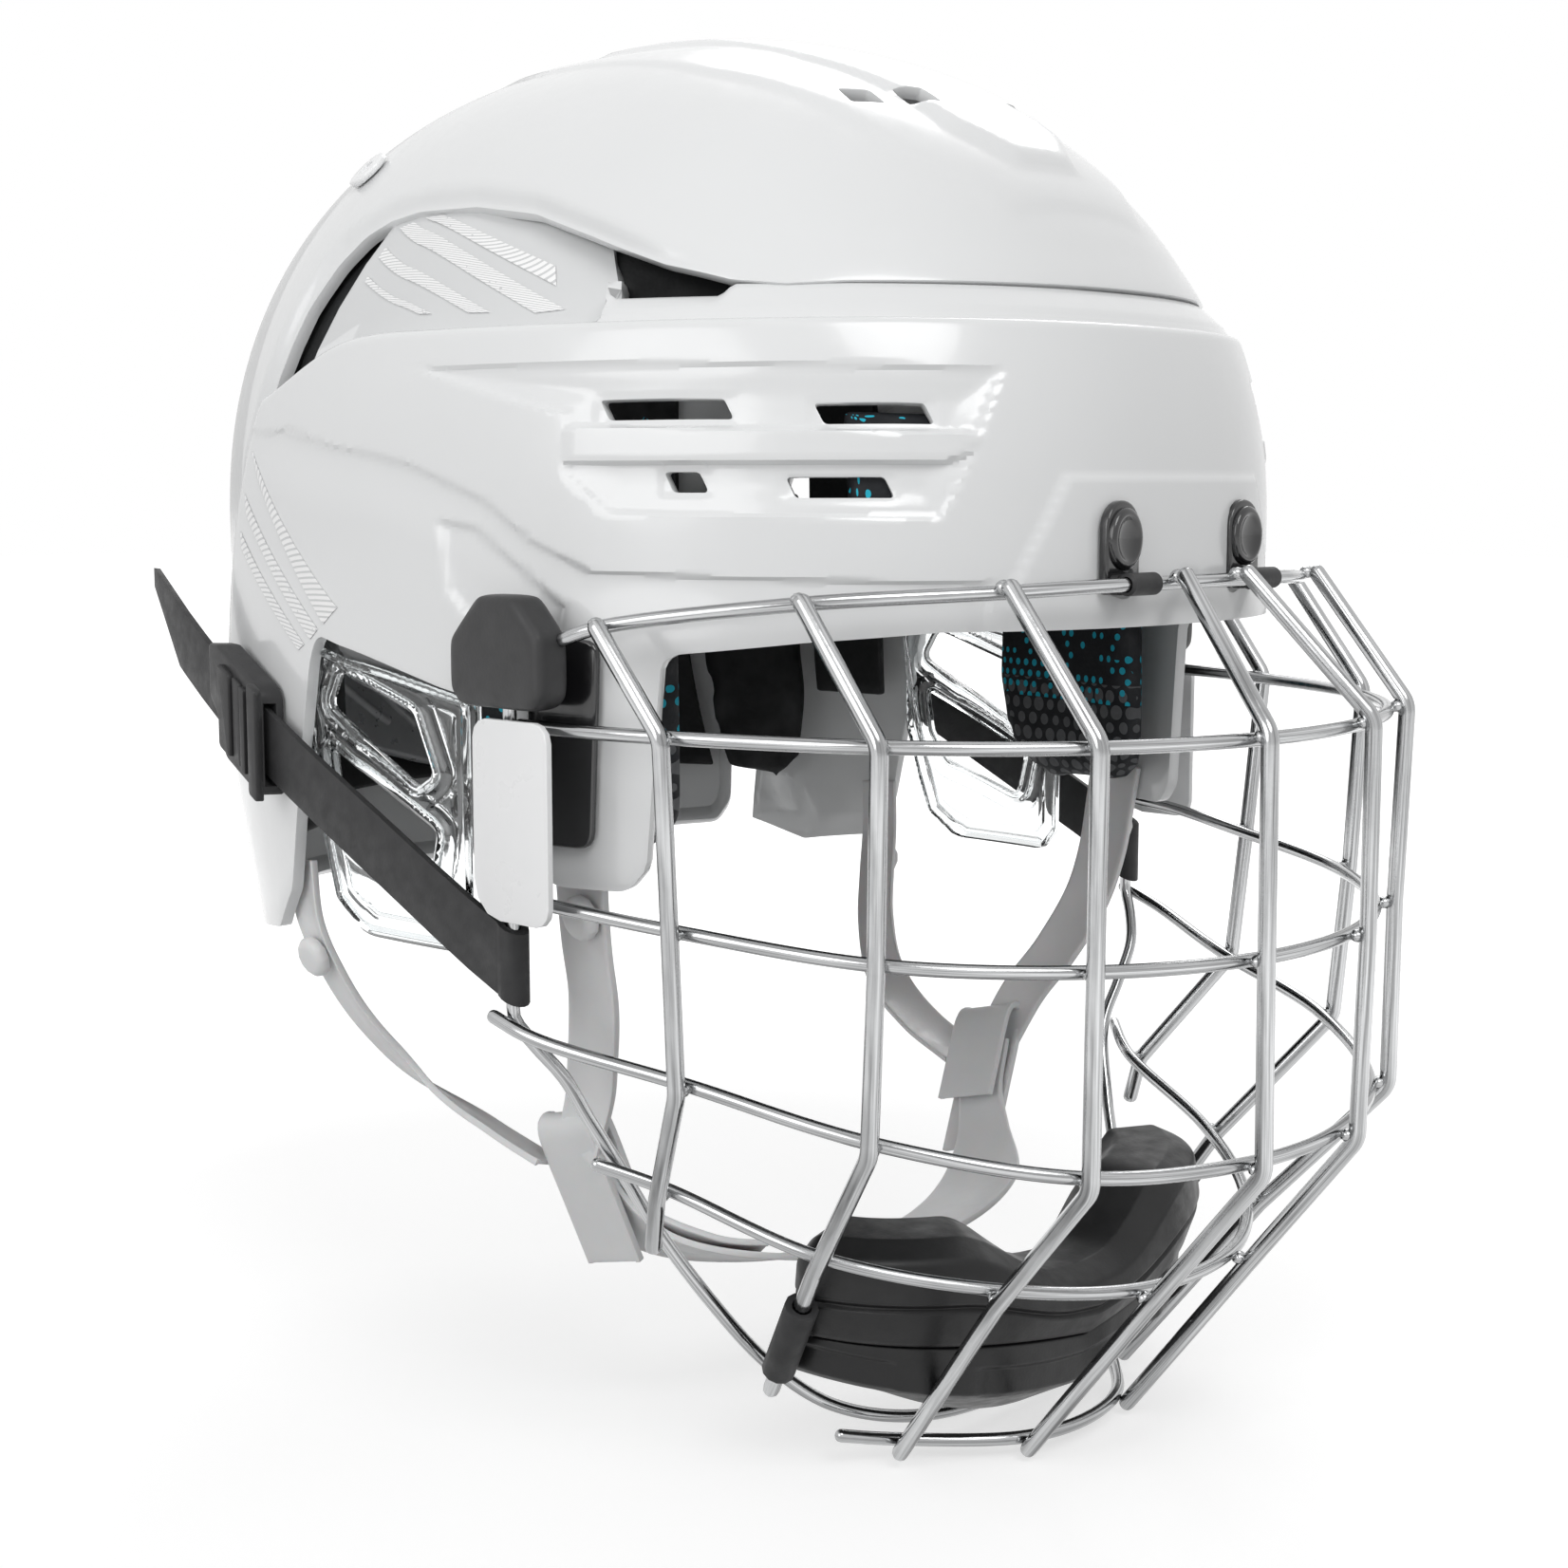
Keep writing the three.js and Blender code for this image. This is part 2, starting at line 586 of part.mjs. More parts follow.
const chinLine = [[0, 67, 188.3], [18, 63.3, 187.9], [40, 45.6, 186.7], [52, 39.7, 184]];

function chinPath() {
  const half = chinLine.map(place);
  const other = half.slice(1).map((point) => point.clone().multiply(vec(-1, 1, 1))).reverse();
  return smooth([...other, ...half]);
}

function cageWires() {
  const coarse = 10;
  for (const name of ['brow', 'eye', 'nose', 'mouth', 'jaw']) {
    add(`${name}_rod`, tube(crossRod(name), cage.rod, coarse), steel);
  }
  add('chin_rod', tube(chinPath(), cage.rod, coarse), steel);
  add('perimeter_wire', tube(perimeterPath(), cage.rod, coarse), steel);
  for (let column = 0; column < 4; column++) addPair(`bar_${column + 1}`, uprightBar(column), steel);
}

// ---------------------------------------------------------------- brow clips, bumpers, labels

// The clips are let into pockets in the brow band.
const clipBack = -(shell.front + shell.band) + browClip.pocket;

function browClipBody() {
  const half = browClip.width / 2;
  const back = clipBack;
  const top = browClip.screwZ + half + 4;
  const outline = roundedOutline(browClip.x - half, browClip.x + half, top - browClip.height, top,
    [half - 0.5, half - 0.5, 2, 2], 4);
  const shape = new THREE.Shape(outline.map(([x, z]) => new THREE.Vector2(x, z)));
  const tongue = new THREE.ExtrudeGeometry(shape, { depth: browClip.thickness, bevelEnabled: false });
  tongue.rotateX(Math.PI / 2).translate(0, back, 0);
  const sleeve = rod('x', browClip.sleeve, browClip.x - half, browClip.x + half).translate(0, browY, 0);
  const wire = rod('x', cage.rod / 2 + gap, 0, 2 * browClip.x).translate(0, browY, 0);
  const neck = block(-half, half, browY, back - browClip.thickness / 2, -half + 1, half - 2);
  neck.translate(browClip.x, 0, 0);
  const shank = rod('y', screw.shank + gap, browY - 5, -shell.front).translate(browClip.x, 0, browClip.screwZ);
  return cut(joined(tongue, sleeve, neck), wire, shank);
}

function browScrew() {
  const seat = clipBack - browClip.thickness - gap;
  const tip = seat + browClip.thickness + gap + 2;
  const points = [[0, tip], [screw.shank, tip], [screw.shank, seat], [screw.head, seat],
    [screw.head, seat - 1], [screw.head * 0.6, seat - screw.dome + 0.6], [0, seat - screw.dome]];
  return turned(points, 14).translate(browClip.x, 0, browClip.screwZ);
}

function templeBumper() {
  const { front, back, top, bottom } = bumper;
  const outline = [[front, top - 8], [front, bottom + 3], [front + 3, bottom], [back - 3, bottom],
    [back, bottom + 3], [back, top - 9], [back - 9, top], [front + 8, top]];
  const plate = sidePlate(outline, bumper.inner, bumper.outer);
  const fat = cage.rod + 2 * gap;
  return cut(plate, tube(crossRod('brow'), fat, 5), tube(perimeterPath(), fat, 5));
}

// The label plate snaps on the perimeter wire by a boss behind it.
function labelPlate() {
  const wireX = cage.half;
  const back = wireX + cage.rod / 2 + strap.thickness + 2.5 * gap;
  const y0 = label.centreY - label.width / 2;
  const y1 = label.centreY + label.width / 2;
  const radii = [label.radius, label.radius, label.radius, 2 * label.radius];
  const outline = roundedOutline(y0, y1, label.top - label.height, label.top, radii);
  const plate = sidePlate(outline, back, back + label.thickness);
  const boss = block(wireX - 2.6, back + 0.5, cage.rear - 3, cage.rear + 3, label.top - 26, label.top - 11);
  const wire = rod('z', cage.rod / 2 + gap, -100, 0).translate(wireX, cage.rear, 0);
  return cut(joined(plate, boss), wire);
}

function templeCover() {
  const { front, back, top, bottom } = templePlate;
  const low = (bearing) => bottom + (Math.abs(bearing - (front + back) / 2) > 4 ? 3 : 0);
  const off = shell.band + gap;
  return skinPatch(subdivided([front, front + 1, back - 1, back], 3), low, constant(top), 2,
    off + templePlate.thickness, off);
}

// ---------------------------------------------------------------- cage straps

// Centre line of the strap seen from above, from its loop on the perimeter wire to its tail.
const strapRun = [[108.9, -56], [109.8, -45], [110, -10], [110, 12], [108.7, 36], [104.6, 62],
  [98.5, 88]];

function slanted(geometry) {
  const position = geometry.attributes.position;
  for (let i = 0; i < position.count; i++) {
    position.setZ(i, position.getZ(i) + strap.rise * (position.getY(i) - cage.rear));
  }
  return geometry;
}

// A flat outline [x, y] carried downwards from a height.
function upright(outline, top, height) {
  const shape = new THREE.Shape(outline.map(([x, y]) => new THREE.Vector2(x, y)));
  const solid = new THREE.ExtrudeGeometry(shape, { depth: height, bevelEnabled: false });
  return solid.translate(0, 0, top - height);
}

function strapCentre() {
  const across = cage.half - drawn.half;
  return smooth(strapRun.map(([x, y]) => vec(x + across, y, 0)));
}

function cageStrap() {
  const points = strapCentre().getSpacedPoints(14);
  const side = (sign) => points.map((point, i) => {
    const ahead = points[Math.min(i + 1, 14)].clone().sub(points[Math.max(i - 1, 0)]);
    const off = vec(ahead.y, -ahead.x, 0).setLength((sign * strap.thickness) / 2);
    return [point.x + off.x, point.y + off.y];
  });
  const ribbon = upright([...side(1), ...side(-1).reverse()], strap.loopTop, strap.width);
  const inner = cage.rod / 2 + gap;
  const ring = rod('z', inner + strap.thickness, strap.loopTop - strap.width, strap.loopTop);
  const hole = rod('z', inner, -200, 0);
  ring.translate(cage.half, cage.rear, 0);
  hole.translate(cage.half, cage.rear, 0);
  const strapBody = cut(joined(ribbon, ring), hole);
  return slanted(trimTail(strapBody));
}

// The tail ends in a slanting tip.
function trimTail(geometry) {
  const low = strap.loopTop - strap.width;
  const corner = [[70, low - 1], [95, low - 1], [95, strap.loopTop - 2], [89, strap.loopTop - 4]];
  return cut(geometry, sidePlate(corner, 80, 130));
}

function strapBuckle() {
  const centre = strapCentre();
  const at = centre.getPoints(60).reduce((a, b) =>
    (Math.abs(b.y - strap.buckleY) < Math.abs(a.y - strap.buckleY) ? b : a));
  const { length, height, depth, slot, wall: rim } = buckle;
  const frame = block(-depth / 2, depth / 2, -length / 2, length / 2, -height / 2, height / 2);
  const channel = block(-slot / 2, slot / 2, -length, length, -height / 2 + rim, height / 2 - rim);
  const solid = cut(frame, channel);
  solid.rotateZ(degToRad(buckle.turn));
  return slanted(solid.translate(at.x, at.y, strap.loopTop - strap.width / 2));
}

// ---------------------------------------------------------------- chin cup

// A bowl section swept round the chin: the shell below and the pad on it above.
function cupRings(section, steps = 14) {
  return Array.from({ length: steps + 1 }, (_, i) => {
    const angle = degToRad(lerp(-cup.reach, cup.reach, i / steps));
    const sideways = signedPower(Math.sin(angle), 2 / cup.plan);
    const forward = Math.cos(angle) ** (2 / cup.plan);
    const share = Math.abs(sideways);
    return section(share).map(([inward, z]) => {
      const x = (cup.half - inward) * sideways;
      return vec(x, cup.centreY - (cup.depth - inward) * forward, z);
    });
  });
}

function chinCup() {
  const section = (share) => {
    const top = lerp(-168, -158, share);
    const bottom = lerp(-186, -171, share * share);
    return [[0, top], [0.5, top - 4], [15, bottom], [19, bottom + 1], [16, bottom + 5], [9, top - 4], [9, top]];
  };
  add('chin_cup', loft(cupRings(section)), blackPlastic);
  const padSection = (share) => {
    const low = lerp(-168, -158, share) + gap;
    const hump = Math.exp(-(((share - 0.82) / 0.26) ** 2));
    const top = lerp(-151, -146, share) + 11 * hump;
    return [[0, low], [-5, (low + top) / 2], [-1, top - 2], [7, top], [16, top - 1.5], [20, (low + top) / 2],
      [18, low], [9.4, low]];
  };
  add('chin_cup_pad', loft(cupRings(padSection, 18)), foam);
}

// A clip holds each end of the cup on the third bar.
function cupClip() {
  const jaw = shifted(4, 2, barOutset(4));
  const base = shifted(5, 2, barOutset(5));
  const from = jaw.clone().lerp(base, 0.27);
  const to = jaw.clone().lerp(base, 0.8);
  const path = new THREE.LineCurve3(from, to);
  const sleeve = tube(path, cage.bar + 2 * gap + 3, 30, 12);
  const hole = tube(new THREE.LineCurve3(jaw, base), cage.bar + 2 * gap, 50, 12);
  return cut(sleeve, hole);
}

// ---------------------------------------------------------------- chin strap

// A flat ribbon along a path; its width follows the given direction.
function ribbon(points, widthAxis, width, thickness, steps) {
  const path = smooth(points);
  const rings = path.getSpacedPoints(steps).map((point, i) => {
    const tangent = path.getTangentAt(i / steps);
    const across = widthAxis(i / steps).addScaledVector(tangent, -tangent.dot(widthAxis(i / steps)));
    across.setLength(width / 2);
    const up = tangent.clone().cross(across).setLength(thickness / 2);
    const corner = (a, b) => point.clone().addScaledVector(across, a).addScaledVector(up, b);
    return [corner(-1, -1), corner(1, -1), corner(1, 1), corner(-1, 1)];
  });
  return loft(rings);
}

const strapPoints = {
  front: [[93.4, -62, -53], [92.5, -62, -63], [90.5, -63, -76], [87, -66, -88], [82, -63, -102],
    [76, -54, -115], [74.9, -51.4, -117.8]],
  rear: [[100.3, 27, -66], [99.4, 26, -80], [95.5, 23.5, -92], [90, 20, -104], [82, 10, -118.5],
    [76, -4, -127], [73, -16, -130.5]],
  under: [[67.6, -43.1, -133.3], [59, -52, -143], [38, -63, -152], [0, -71, -158]],
};

// A flat button on the outer side of a strap, at a point of its centre line.
function buttonOn([x, y, z], tilt) {
  const { radius, thickness } = button;
  const outline = [[0, 0], [radius, 0], [radius, thickness * 0.6], [radius * 0.7, thickness], [0, thickness]];
  const head = turned(outline, 12).translate(0, webbing.thickness / 2 + gap, 0);
  return head.rotateZ(-Math.PI / 2).rotateY(degToRad(tilt)).translate(x, y, z);
}

function chinStrap() {
  const toPoints = (list) => list.map(([x, y, z]) => vec(x, y, z));
  const forwards = () => vec(0, 1, 0);
  const { width, thickness } = webbing;
  addPair('front_strap', ribbon(toPoints(strapPoints.front), forwards, width, thickness, 8), softWhite);
  const turning = (t) => vec(lerp(-0.1, -0.6, smoothstep(t, 0.5, 0.8)), 0.8, 0);
  addPair('rear_strap', ribbon(toPoints(strapPoints.rear), turning, width - 4, thickness, 12), softWhite);
  const half = toPoints(strapPoints.under);
  const other = half.slice(0, -1).map((point) => point.clone().multiply(vec(-1, 1, 1)));
  const under = ribbon([...other, ...half.reverse()], () => vec(0, 1, -0.25), width, thickness, 16);
  add('under_chin_strap', under, softWhite);
  addPair('front_button', buttonOn([91.8, -62, -69], 9), softWhite);
  addPair('rear_button', buttonOn([97.7, 24.5, -88], 17), softWhite);
  const inner = width / 2 + 2 * gap;
  const slot = block(-3, 3, -inner, inner, -1.6, 1.6);
  const frame = block(-1.6, 1.6, -inner - 2.8, inner + 2.8, -4.6, 4.6);
  addPair('strap_guide', cut(frame, slot).rotateY(0.5).translate(72, -44, -125), softWhite);
}

// ---------------------------------------------------------------- assembly

add('front_shell', frontShell(), white);
add('rear_shell', rearShell(), white);
addPair('dome_screw', domeScrewHead(), white);
padding();
occipitalFit();
addPair('ear_guard', earGuard(), clear);
cageWires();
addPair('brow_clip', browClipBody(), blackPlastic);
addPair('brow_clip_screw', browScrew(), blackPlastic);
addPair('temple_bumper', templeBumper(), blackRubber);
addPair('label_plate', labelPlate(), white);
addPair('temple_cover', templeCover(), blackPlastic);
addPair('cage_strap', cageStrap(), blackRubber);
addPair('strap_buckle', strapBuckle(), blackPlastic);
chinCup();
addPair('cup_clip', cupClip(), blackRubber);
chinStrap();

export default model;
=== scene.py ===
"""Ice hockey helmet with a hinged round-wire face cage.

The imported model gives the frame: every piece made here lies in it, in metres, and rides on one of its bodies.
+Z is up, the face looks along -Y and the wearer's left is +X.
"""

import json
import math

import bpy
import numpy as np
from bpy.props import FloatProperty, FloatVectorProperty, PointerProperty
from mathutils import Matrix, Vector


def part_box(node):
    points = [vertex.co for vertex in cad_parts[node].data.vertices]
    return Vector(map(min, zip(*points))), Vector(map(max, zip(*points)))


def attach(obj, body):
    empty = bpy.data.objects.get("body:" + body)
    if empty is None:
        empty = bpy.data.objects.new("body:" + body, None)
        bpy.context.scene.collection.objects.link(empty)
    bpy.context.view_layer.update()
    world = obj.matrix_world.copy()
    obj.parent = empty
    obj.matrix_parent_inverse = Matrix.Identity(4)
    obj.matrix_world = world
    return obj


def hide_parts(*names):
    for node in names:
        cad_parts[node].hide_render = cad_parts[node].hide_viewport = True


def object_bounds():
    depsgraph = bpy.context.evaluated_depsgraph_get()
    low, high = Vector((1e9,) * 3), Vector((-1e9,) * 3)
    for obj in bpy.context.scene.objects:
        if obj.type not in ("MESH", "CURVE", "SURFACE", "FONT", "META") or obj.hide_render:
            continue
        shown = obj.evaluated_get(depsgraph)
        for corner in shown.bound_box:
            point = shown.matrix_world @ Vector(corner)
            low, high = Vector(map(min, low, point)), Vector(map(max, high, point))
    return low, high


bl_info = {
    "name": "Hockey helmet with cage",
    "version": (1, 0, 0),
    "blender": (4, 5, 0),
    "location": "View3D > Sidebar > Helmet",
    "description": "Models the shells, padding, wire cage and straps of an ice hockey helmet",
    "category": "Add Mesh",
}

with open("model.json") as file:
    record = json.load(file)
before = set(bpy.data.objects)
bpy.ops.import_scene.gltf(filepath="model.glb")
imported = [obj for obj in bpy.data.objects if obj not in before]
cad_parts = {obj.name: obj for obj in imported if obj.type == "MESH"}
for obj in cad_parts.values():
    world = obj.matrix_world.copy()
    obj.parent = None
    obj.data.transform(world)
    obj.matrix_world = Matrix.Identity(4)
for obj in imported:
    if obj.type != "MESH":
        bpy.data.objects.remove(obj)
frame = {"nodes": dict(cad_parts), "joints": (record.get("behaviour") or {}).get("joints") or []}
cad_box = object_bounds()

MM = 0.001
SIDES = {"left": 1, "right": -1}

# Sizes in millimetres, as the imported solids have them.
HALF, FRONT, BACK, CROWN, BASE = 102, 140, 121, 121.5, 10  # the dome
PLAN, PROFILE = 2.3, 2.2  # superellipse exponents seen from above and from the side
BAND, WALL, LEDGE, STEP = 5, 3, 51, 2.5  # the brow band
TUCK, TUCK_DEPTH = 13, 60  # how far and over what height the nape turns in
FLANGE_TRAVEL = 16  # room behind the ledge for the dome to slide back
SEAM = 0.3
DEGREE = 2.1  # millimetres along the skin for one degree of bearing


def joint(name):
    return next(j for j in frame["joints"] if j["name"] == name)


CAGE_HINGE = joint("cage_lift")["pos_m"]
BROW_Y = CAGE_HINGE[1] / MM
TEMPLE_Y = joint("strap_swing_left")["pos_m"][1] / MM
MIRROR = np.array((-1, 1, 1))  # the wearer's left to the wearer's right
WELD_DISTANCE = 1e-6  # metres between points that are one


class HelmetSettings(bpy.types.PropertyGroup):
    """Sizes and colours that a user would change"""

    shell_colour: FloatVectorProperty(
        name="Shell colour", description="Colour of the moulded shells", subtype="COLOR",
        size=3, min=0, max=1, default=(0.78, 0.788, 0.792))
    recess_colour: FloatVectorProperty(
        name="Recess colour", description="Colour of the recess behind the ledge", subtype="COLOR",
        size=3, min=0, max=1, default=(0.68, 0.688, 0.692))
    dot_colour: FloatVectorProperty(
        name="Dot colour", description="Colour of the printed dots on the pads", subtype="COLOR",
        size=3, min=0, max=1, default=(0.02, 0.42, 0.56))
    wire_colour: FloatVectorProperty(
        name="Wire colour", description="Colour of the plated wire", subtype="COLOR",
        size=3, min=0, max=1, default=(0.46, 0.465, 0.47))
    bar_diameter: FloatProperty(
        name="Bar diameter", description="Diameter of the upright bars", subtype="DISTANCE",
        unit="LENGTH", min=0.002, max=0.006, default=0.0037)
    rod_diameter: FloatProperty(
        name="Rod diameter", description="Diameter of the cross rods", subtype="DISTANCE",
        unit="LENGTH", min=0.002, max=0.005, default=0.0029)
    edge_radius: FloatProperty(
        name="Edge radius", description="Rounding of the shell's edges", subtype="DISTANCE",
        unit="LENGTH", min=0.0001, max=0.002, default=0.0006)
    pad_swell: FloatProperty(
        name="Pad swell", description="The furthest that a pad's cloth may bulge", subtype="DISTANCE",
        unit="LENGTH", min=0.0, max=0.016, default=0.0016)


def settings():
    return bpy.context.scene.helmet_settings


# ---------------------------------------------------------------- small tools


def smoothstep(low, high, value):
    t = np.clip((value - low) / (high - low), 0, 1)
    return t * t * (3 - 2 * t)


def only(obj):
    """Leaves obj alone selected and active."""
    bpy.ops.object.select_all(action="DESELECT")
    obj.select_set(True)
    bpy.context.view_layer.objects.active = obj
    return obj


def coordinates(obj):
    """The places of an object's vertices, a row for each."""
    co = np.empty(len(obj.data.vertices) * 3)
    obj.data.vertices.foreach_get("co", co)
    return co.reshape(-1, 3)


def place_vertices(obj, points):
    obj.data.vertices.foreach_set("co", np.asarray(points, float).ravel())
    obj.data.update()
    return obj


def linked(name, data):
    """A new object of the scene with this data."""
    obj = bpy.data.objects.new(name, data)
    bpy.context.scene.collection.objects.link(obj)
    return obj


def in_edit_mode(obj, *works):
    """Runs edit tools on the whole mesh of an object."""
    only(obj)
    bpy.ops.object.mode_set(mode="EDIT")
    bpy.ops.mesh.select_all(action="SELECT")
    for work in works:
        work()
    bpy.ops.object.mode_set(mode="OBJECT")
    return obj


def merge_points(distance=WELD_DISTANCE):
    bpy.ops.mesh.remove_doubles(threshold=distance)


def face_outwards():
    bpy.ops.mesh.normals_make_consistent(inside=False)


def flipped(obj):
    """Turns a piece's faces round, as a mirror image needs."""
    return in_edit_mode(obj, bpy.ops.mesh.flip_normals)


def primitive(add, scale=(1, 1, 1), **values):
    """A primitive of bpy.ops.mesh, with its place moved into its mesh."""
    bpy.ops.object.select_all(action="DESELECT")
    add(**values)
    obj = bpy.context.active_object
    obj.scale = scale
    bpy.ops.object.transform_apply(location=True, rotation=True, scale=True)
    return obj


def solid(name, vertices, faces):
    """A mesh object from points in millimetres."""
    mesh = bpy.data.meshes.new(name)
    mesh.from_pydata([tuple(v * MM for v in p) for p in vertices], [], faces)
    return in_edit_mode(linked(name, mesh), face_outwards)


def modified(obj, kind, **values):
    """Adds a modifier with these values and applies it."""
    only(obj)
    modifier = obj.modifiers.new(kind.lower(), kind)
    for key, value in values.items():
        setattr(modifier, key, value)
    bpy.ops.object.modifier_apply(modifier=modifier.name)
    return obj


def bevelled(obj, width, segments, degrees=30):
    """Rounds the edges sharper than an angle by a width in millimetres."""
    return modified(obj, "BEVEL", width=width * MM, segments=segments, limit_method="ANGLE",
                    angle_limit=math.radians(degrees))


def smoothed(obj, degrees=35):
    """Smooth shading, apart from edges sharper than an angle."""
    only(obj)
    bpy.ops.object.shade_smooth_by_angle(angle=math.radians(degrees))
    return obj


def joined(objects, name):
    """One object made of several."""
    bpy.ops.object.select_all(action="DESELECT")
    for obj in objects:
        obj.select_set(True)
    bpy.context.view_layer.objects.active = objects[0]
    if len(objects) > 1:
        bpy.ops.object.join()
    objects[0].name = objects[0].data.name = name
    return objects[0]


def copy_of(node, name):
    """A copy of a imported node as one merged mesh."""
    obj = linked(name, frame["nodes"][node].data.copy())
    obj.data.materials.clear()
    return in_edit_mode(obj, merge_points)


def refined(node, name, radius, segments=2, flat=2, limit=30):
    """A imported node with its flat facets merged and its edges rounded."""
    obj = copy_of(node, name)
    in_edit_mode(obj, lambda: bpy.ops.mesh.dissolve_limited(angle_limit=math.radians(flat)))
    return smoothed(bevelled(obj, radius, segments, limit), 40)


def mirrored(obj, name):
    """A copy of a piece for the wearer's right side."""
    copy = linked(name, obj.data.copy())
    place_vertices(copy, coordinates(copy) * MIRROR)
    return flipped(copy)


def finished(obj, material, slot, body, *nodes):
    """Gives a piece its material and the body that it rides on; slot is not used."""
    obj.data.materials.clear()
    obj.data.materials.append(material)
    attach(obj, body)
    if nodes:
        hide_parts(*nodes)
    return obj


def finished_pair(obj, name, material, slot, body, *nodes):
    """Finishes a left piece and its mirror image; body and nodes are without their side."""
    bodies = {side: body + "_" + side if body == "strap" else body for side in SIDES}
    pieces = {"left": obj, "right": mirrored(obj, name + "_right")}
    for side, piece in pieces.items():
        piece.name = f"{name}_{side}"
        finished(piece, material, slot, bodies[side], *[f"{node}_{side}" for node in nodes])
    return pieces


# ---------------------------------------------------------------- the helmet's skin


def station_of(z):
    """Millimetres below the base while negative, degrees of arc towards the crown above it."""
    z = np.asarray(z, float)
    rise = np.clip((z - BASE) / (CROWN - BASE), 0, 1)
    return np.where(z <= BASE, z - BASE, np.degrees(np.arcsin(rise ** (PROFILE / 2))))


def signed_power(value, power):
    return np.sign(value) * np.abs(value) ** power


def skin_point(bearing, station):
    """The point of the helmet's skin at a bearing from the front and a station up its wall."""
    arc = np.radians(np.maximum(station, 0))
    narrowing = np.clip(np.cos(arc), 0, 1) ** (2 / PROFILE)
    rise = (CROWN - BASE) * np.sin(arc) ** (2 / PROFILE)
    s, c = np.sin(np.radians(bearing)), np.cos(np.radians(bearing))
    length = np.where(c > 0, FRONT, BACK)
    below = np.minimum(station, 0) / TUCK_DEPTH
    tuck = np.where(c < 0, -TUCK * c * below * below, 0)
    x = HALF * narrowing * signed_power(s, 2 / PLAN)
    y = -length * narrowing * signed_power(c, 2 / PLAN) - tuck
    return np.stack([x, y, BASE + rise + np.minimum(station, 0)], -1)


def skin_normal(bearing, station):
    """The direction straight out of the skin."""
    across = skin_point(bearing + 0.5, station) - skin_point(bearing - 0.5, station)
    up = skin_point(bearing, station + 0.5) - skin_point(bearing, station - 0.5)
    normal = np.cross(across, up)
    normal /= np.linalg.norm(normal, axis=-1, keepdims=True) + 1e-12
    return np.where(np.asarray(station)[..., None] > 89, (0.0, 0.0, 1.0), normal)


def off_skin(bearing, z, off):
    """The point that lies off millimetres outside the skin."""
    bearing, z, off = np.broadcast_arrays(np.asarray(bearing, float), z, off)
    station = station_of(z)
    return skin_point(bearing, station) + skin_normal(bearing, station) * off[..., None]


def bearing_at(y):
    """The bearing of the skin's upright wall at a distance from the widest section."""
    length = FRONT if y < 0 else BACK
    return math.degrees(math.acos(-math.copysign((abs(y) / length) ** (PLAN / 2), y)))


def skin_sheet(name, columns, rows, place):
    """A grid primitive whose points are placed by their column and row."""
    obj = primitive(bpy.ops.mesh.primitive_grid_add, x_subdivisions=len(columns) - 1,
                    y_subdivisions=len(rows) - 1, size=2, location=(0, 0, 0))
    obj.name = obj.data.name = name
    co = coordinates(obj)
    i = np.rint((co[:, 0] + 1) / 2 * (len(columns) - 1)).astype(int)
    j = np.rint((co[:, 1] + 1) / 2 * (len(rows) - 1)).astype(int)
    place_vertices(obj, place(np.asarray(columns)[i], np.asarray(rows)[j]) * MM)
    return obj


def distance_inside(outline, bearing, z):
    """Millimetres inside an outline of (bearing, z) corners, negative outside it."""
    px, py = np.asarray(bearing) * DEGREE, np.asarray(z, float)
    corners = [(b * DEGREE, h) for b, h in outline]
    nearest = np.full(px.shape, 1e9)
    inside = np.zeros(px.shape, bool)
    for (ax, ay), (bx, by) in zip(corners, corners[1:] + corners[:1]):
        dx, dy = bx - ax, by - ay
        t = np.clip(((px - ax) * dx + (py - ay) * dy) / (dx * dx + dy * dy), 0, 1)
        nearest = np.minimum(nearest, np.hypot(px - ax - t * dx, py - ay - t * dy))
        crosses = (ay > py) != (by > py)
        with np.errstate(divide="ignore", invalid="ignore"):
            inside ^= crosses & (px < ax + (py - ay) * dx / (dy if dy else 1e-9))
    return np.where(inside, nearest, -nearest)


def distance_to_line(points, bearing, z):
    """Millimetres from an open line of (bearing, z) points."""
    px, py = np.asarray(bearing) * DEGREE, np.asarray(z, float)
    nearest = np.full(px.shape, 1e9)
    for (a, h), (b, k) in zip(points, points[1:]):
        ax, bx = a * DEGREE, b * DEGREE
        t = np.clip(((px - ax) * (bx - ax) + (py - h) * (k - h)) / ((bx - ax) ** 2 + (k - h) ** 2), 0, 1)
        nearest = np.minimum(nearest, np.hypot(px - ax - t * (bx - ax), py - h - t * (k - h)))
    return nearest


